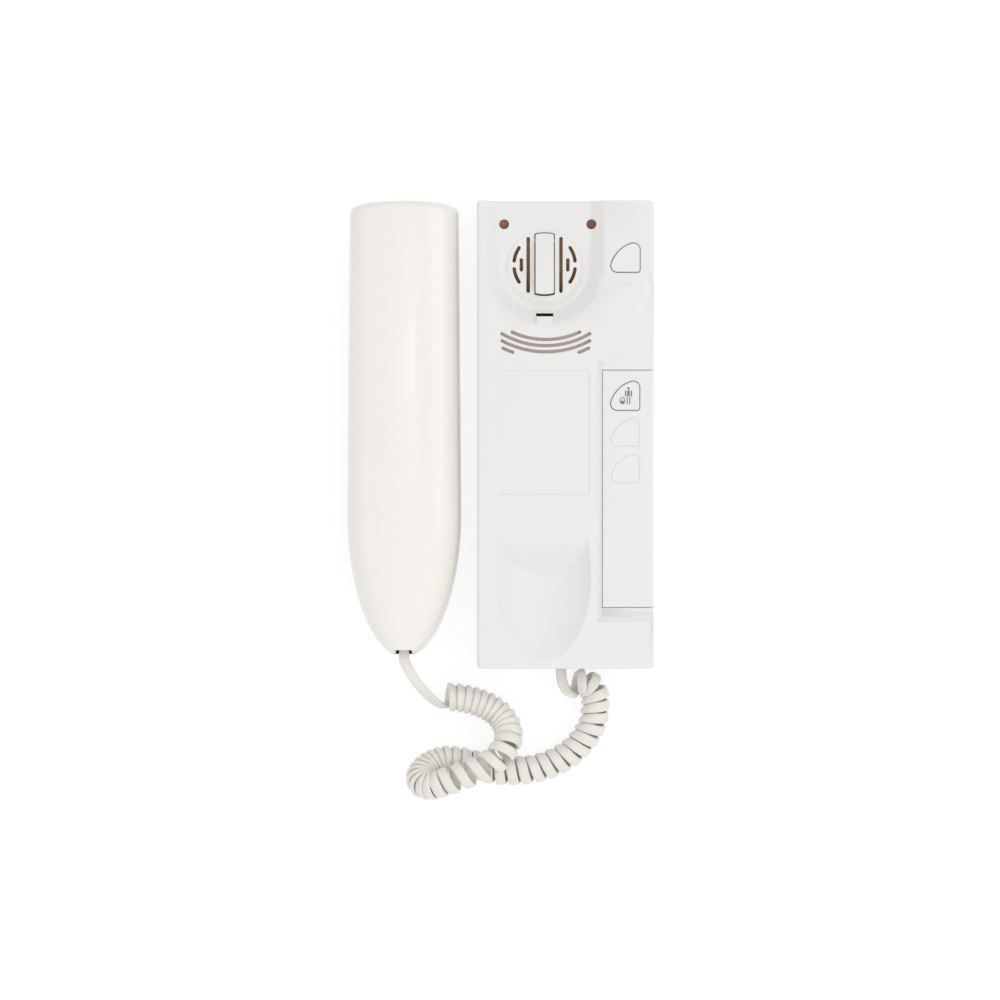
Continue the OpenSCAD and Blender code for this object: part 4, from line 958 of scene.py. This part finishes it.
def jacket_point(ring, way, turn, sizes):
    """Point on the rounded flat section of the cord."""
    centre, across, out = ring
    c = math.cos(turn)
    s = math.sin(turn)
    x = math.copysign(abs(c) ** SECTION_POWER, c) * sizes.width / 2
    z = math.copysign(abs(s) ** SECTION_POWER, s) * sizes.thickness / 2
    hand = math.copysign(1, across.cross(out).dot(way))
    return centre + across * x * hand + out * z


class INTERCOM_OT_curly_cord(bpy.types.Operator):
    """Make the flat curly cord from its plug in the base to its plug in the handset"""
    bl_idname = "intercom.curly_cord"
    bl_label = "Curly cord"

    def execute(self, context):
        sizes = context.scene.intercom_cord
        curls = curl_rings(CoilAxis(COIL_ROUTE), sizes)
        base_lead = lead_rings(BASE_LEAD_START, curls[0], curls[1], BASE_LEAD_PULLS)
        handset_lead = lead_rings(HANDSET_LEAD_START, curls[-1], curls[-2], HANDSET_LEAD_PULLS)
        rings = base_lead + curls + handset_lead[::-1]
        maker = bmesh.new()
        rows = []
        for i, ring in enumerate(rings):
            way = rings[min(i + 1, len(rings) - 1)][0] - rings[max(i - 1, 0)][0]
            turns = [math.tau * k / sizes.sides for k in range(sizes.sides)]
            rows.append([maker.verts.new(jacket_point(ring, way, turn, sizes)) for turn in turns])
        for a, b in zip(rows, rows[1:]):
            for k in range(sizes.sides):
                j = (k + 1) % sizes.sides
                maker.faces.new((a[k], b[k], b[j], a[j]))
        maker.faces.new(rows[0])
        maker.faces.new(rows[-1][::-1])
        bmesh.ops.recalc_face_normals(maker, faces=maker.faces)
        cord = add_piece("cord", maker, None, "cord_jacket", "curly_cord")
        smooth_by_angle(cord, degrees=50)
        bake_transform(cord)
        return {"FINISHED"}


# Stage

# Plan point under the camera, and the point of the object that the lamps face
VIEW_CENTRE = (-0.0314, -0.0314)
LIT_POINT = (-0.03, 0.0, 0.02)
# Place and width of each soft box; the front one leaves no gloss
SOFT_BOXES = {
    "front": ((0.15, -0.6, 0.95), 0.9),
    "key": ((0.95, 0.35, 1.15), 0.9),
    "fill": ((-1.1, 0.1, 0.9), 0.9),
    "top": ((-0.02, 0.12, 1.75), 0.12),
}


class INTERCOM_OT_stage(bpy.types.Operator):
    """Set up the camera, the pale floor and the soft light"""
    bl_idname = "intercom.stage"
    bl_label = "Stage"

    def execute(self, context):
        stage = context.scene.intercom_stage
        context.scene.view_settings.view_transform = "Standard"
        self.camera(context, stage)
        self.world(context, stage)
        self.floor()
        for name, (place, size) in SOFT_BOXES.items():
            light = self.soft_box(f"{name}_light", place, size, getattr(stage, name))
            light.visible_glossy = name != "front"
        return {"FINISHED"}

    def camera(self, context, stage):
        """Camera straight above the object."""
        data = bpy.data.cameras.new("camera")
        data.lens = stage.lens
        data.sensor_width = 36
        camera = bpy.data.objects.new("camera", data)
        camera.location = (*VIEW_CENTRE, stage.camera_height)
        context.scene.collection.objects.link(camera)
        context.scene.camera = camera

    def seen_rays(self, tree):
        """1 for rays that show the background: from the camera, in gloss and through glass."""
        path = tree.nodes.new("ShaderNodeLightPath")
        total = path.outputs["Is Camera Ray"]
        for name in ("Is Glossy Ray", "Is Transmission Ray"):
            either = tree.nodes.new("ShaderNodeMath")
            either.operation = "MAXIMUM"
            tree.links.new(total, either.inputs[0])
            tree.links.new(path.outputs[name], either.inputs[1])
            total = either.outputs["Value"]
        return total

    def world(self, context, stage):
        """Even white light all round, and a white background."""
        world = bpy.data.worlds.new("studio")
        context.scene.world = world
        world.use_nodes = True
        tree = world.node_tree
        tree.nodes.clear()
        light = tree.nodes.new("ShaderNodeBackground")
        light.inputs["Strength"].default_value = stage.dome
        white = tree.nodes.new("ShaderNodeBackground")
        white.inputs["Strength"].default_value = 1.0
        for node in (light, white):
            node.inputs["Color"].default_value = (1, 1, 1, 1)
        mix = tree.nodes.new("ShaderNodeMixShader")
        output = tree.nodes.new("ShaderNodeOutputWorld")
        tree.links.new(self.seen_rays(tree), mix.inputs["Fac"])
        tree.links.new(light.outputs["Background"], mix.inputs[1])
        tree.links.new(white.outputs["Background"], mix.inputs[2])
        tree.links.new(mix.outputs["Shader"], output.inputs["Surface"])

    def floor(self):
        """Pale floor that shows white and keeps a soft shadow."""
        gap = 0.4 * MM
        half_width = 4
        maker = bmesh.new()
        bmesh.ops.create_grid(maker, x_segments=1, y_segments=1, size=half_width)
        bmesh.ops.translate(maker, verts=maker.verts, vec=(0, 0, -gap))
        mesh = bpy.data.meshes.new("floor")
        maker.to_mesh(mesh)
        maker.free()
        floor = bpy.data.objects.new("floor", mesh)
        bpy.context.scene.collection.objects.link(floor)
        material = bpy.data.materials.new("pale_floor")
        material.use_nodes = True
        tree = material.node_tree
        tree.nodes.clear()
        pale = tree.nodes.new("ShaderNodeBsdfDiffuse")
        pale.inputs["Color"].default_value = (0.9, 0.9, 0.9, 1)
        glow = tree.nodes.new("ShaderNodeEmission")
        glow.inputs["Strength"].default_value = 0.84
        shade = tree.nodes.new("ShaderNodeBsdfDiffuse")
        shade.inputs["Color"].default_value = (0.2, 0.2, 0.2, 1)
        shown = tree.nodes.new("ShaderNodeAddShader")
        mix = tree.nodes.new("ShaderNodeMixShader")
        output = tree.nodes.new("ShaderNodeOutputMaterial")
        tree.links.new(glow.outputs["Emission"], shown.inputs[0])
        tree.links.new(shade.outputs["BSDF"], shown.inputs[1])
        tree.links.new(self.seen_rays(tree), mix.inputs["Fac"])
        tree.links.new(pale.outputs["BSDF"], mix.inputs[1])
        tree.links.new(shown.outputs["Shader"], mix.inputs[2])
        tree.links.new(mix.outputs["Shader"], output.inputs["Surface"])
        mesh.materials.append(material)

    def soft_box(self, name, place, size, power):
        """Square area light that faces the object."""
        data = bpy.data.lights.new(name, "AREA")
        data.size = size
        data.energy = power
        light = bpy.data.objects.new(name, data)
        light.location = place
        aim = Vector(LIT_POINT) - Vector(place)
        light.rotation_euler = aim.to_track_quat("-Z", "Y").to_euler()
        light.visible_camera = False
        bpy.context.scene.collection.objects.link(light)
        return light


# Finishes on the frame's own pieces

class INTERCOM_OT_finishes(bpy.types.Operator):
    """Give every piece of the frame its finish"""
    bl_idname = "intercom.finishes"
    bl_label = "Finishes"

    def execute(self, context):
        for slot, names in FINISHED.items():
            for name in names:
                mesh = NODES[name].data
                mesh.materials.clear()
                mesh.materials.append(finish_of(slot))
        return {"FINISHED"}


class INTERCOM_PT_panel(bpy.types.Panel):
    """Panel that lists the steps and their settings"""
    bl_label = "Wall intercom"
    bl_idname = "INTERCOM_PT_panel"
    bl_space_type = "VIEW_3D"
    bl_region_type = "UI"
    bl_category = "Intercom"

    def draw(self, context):
        for step in STEPS:
            self.layout.operator(step.bl_idname)
        for group in GROUPS:
            settings = getattr(context.scene, group)
            box = self.layout.box()
            for name in settings.__annotations__:
                box.prop(settings, name)


GROUPS = {
    "intercom_cord": CordSizes,
    "intercom_handset": HandsetSizes,
    "intercom_details": DetailSizes,
    "intercom_colours": FinishColours,
    "intercom_stage": StageSettings,
}
STEPS = [
    INTERCOM_OT_stage,
    INTERCOM_OT_curly_cord,
    INTERCOM_OT_mouldings,
    INTERCOM_OT_handset_back,
    INTERCOM_OT_screws,
    INTERCOM_OT_signs,
    INTERCOM_OT_liners,
    INTERCOM_OT_finishes,
]


def register():
    """Add the settings, the steps and the panel."""
    for name, group in GROUPS.items():
        bpy.utils.register_class(group)
        setattr(bpy.types.Scene, name, PointerProperty(type=group))
    for step in STEPS:
        bpy.utils.register_class(step)
    bpy.utils.register_class(INTERCOM_PT_panel)


def unregister():
    """Take away the panel, the steps and the settings."""
    bpy.utils.unregister_class(INTERCOM_PT_panel)
    for step in reversed(STEPS):
        bpy.utils.unregister_class(step)
    for name, group in GROUPS.items():
        delattr(bpy.types.Scene, name)
        bpy.utils.unregister_class(group)


def main():
    """Run every step in order."""
    register()
    bpy.ops.intercom.stage()
    bpy.ops.intercom.curly_cord()
    bpy.ops.intercom.mouldings()
    bpy.ops.intercom.handset_back()
    bpy.ops.intercom.screws()
    bpy.ops.intercom.signs()
    bpy.ops.intercom.liners()
    bpy.ops.intercom.finishes()


if __name__ == "__main__":
    main()
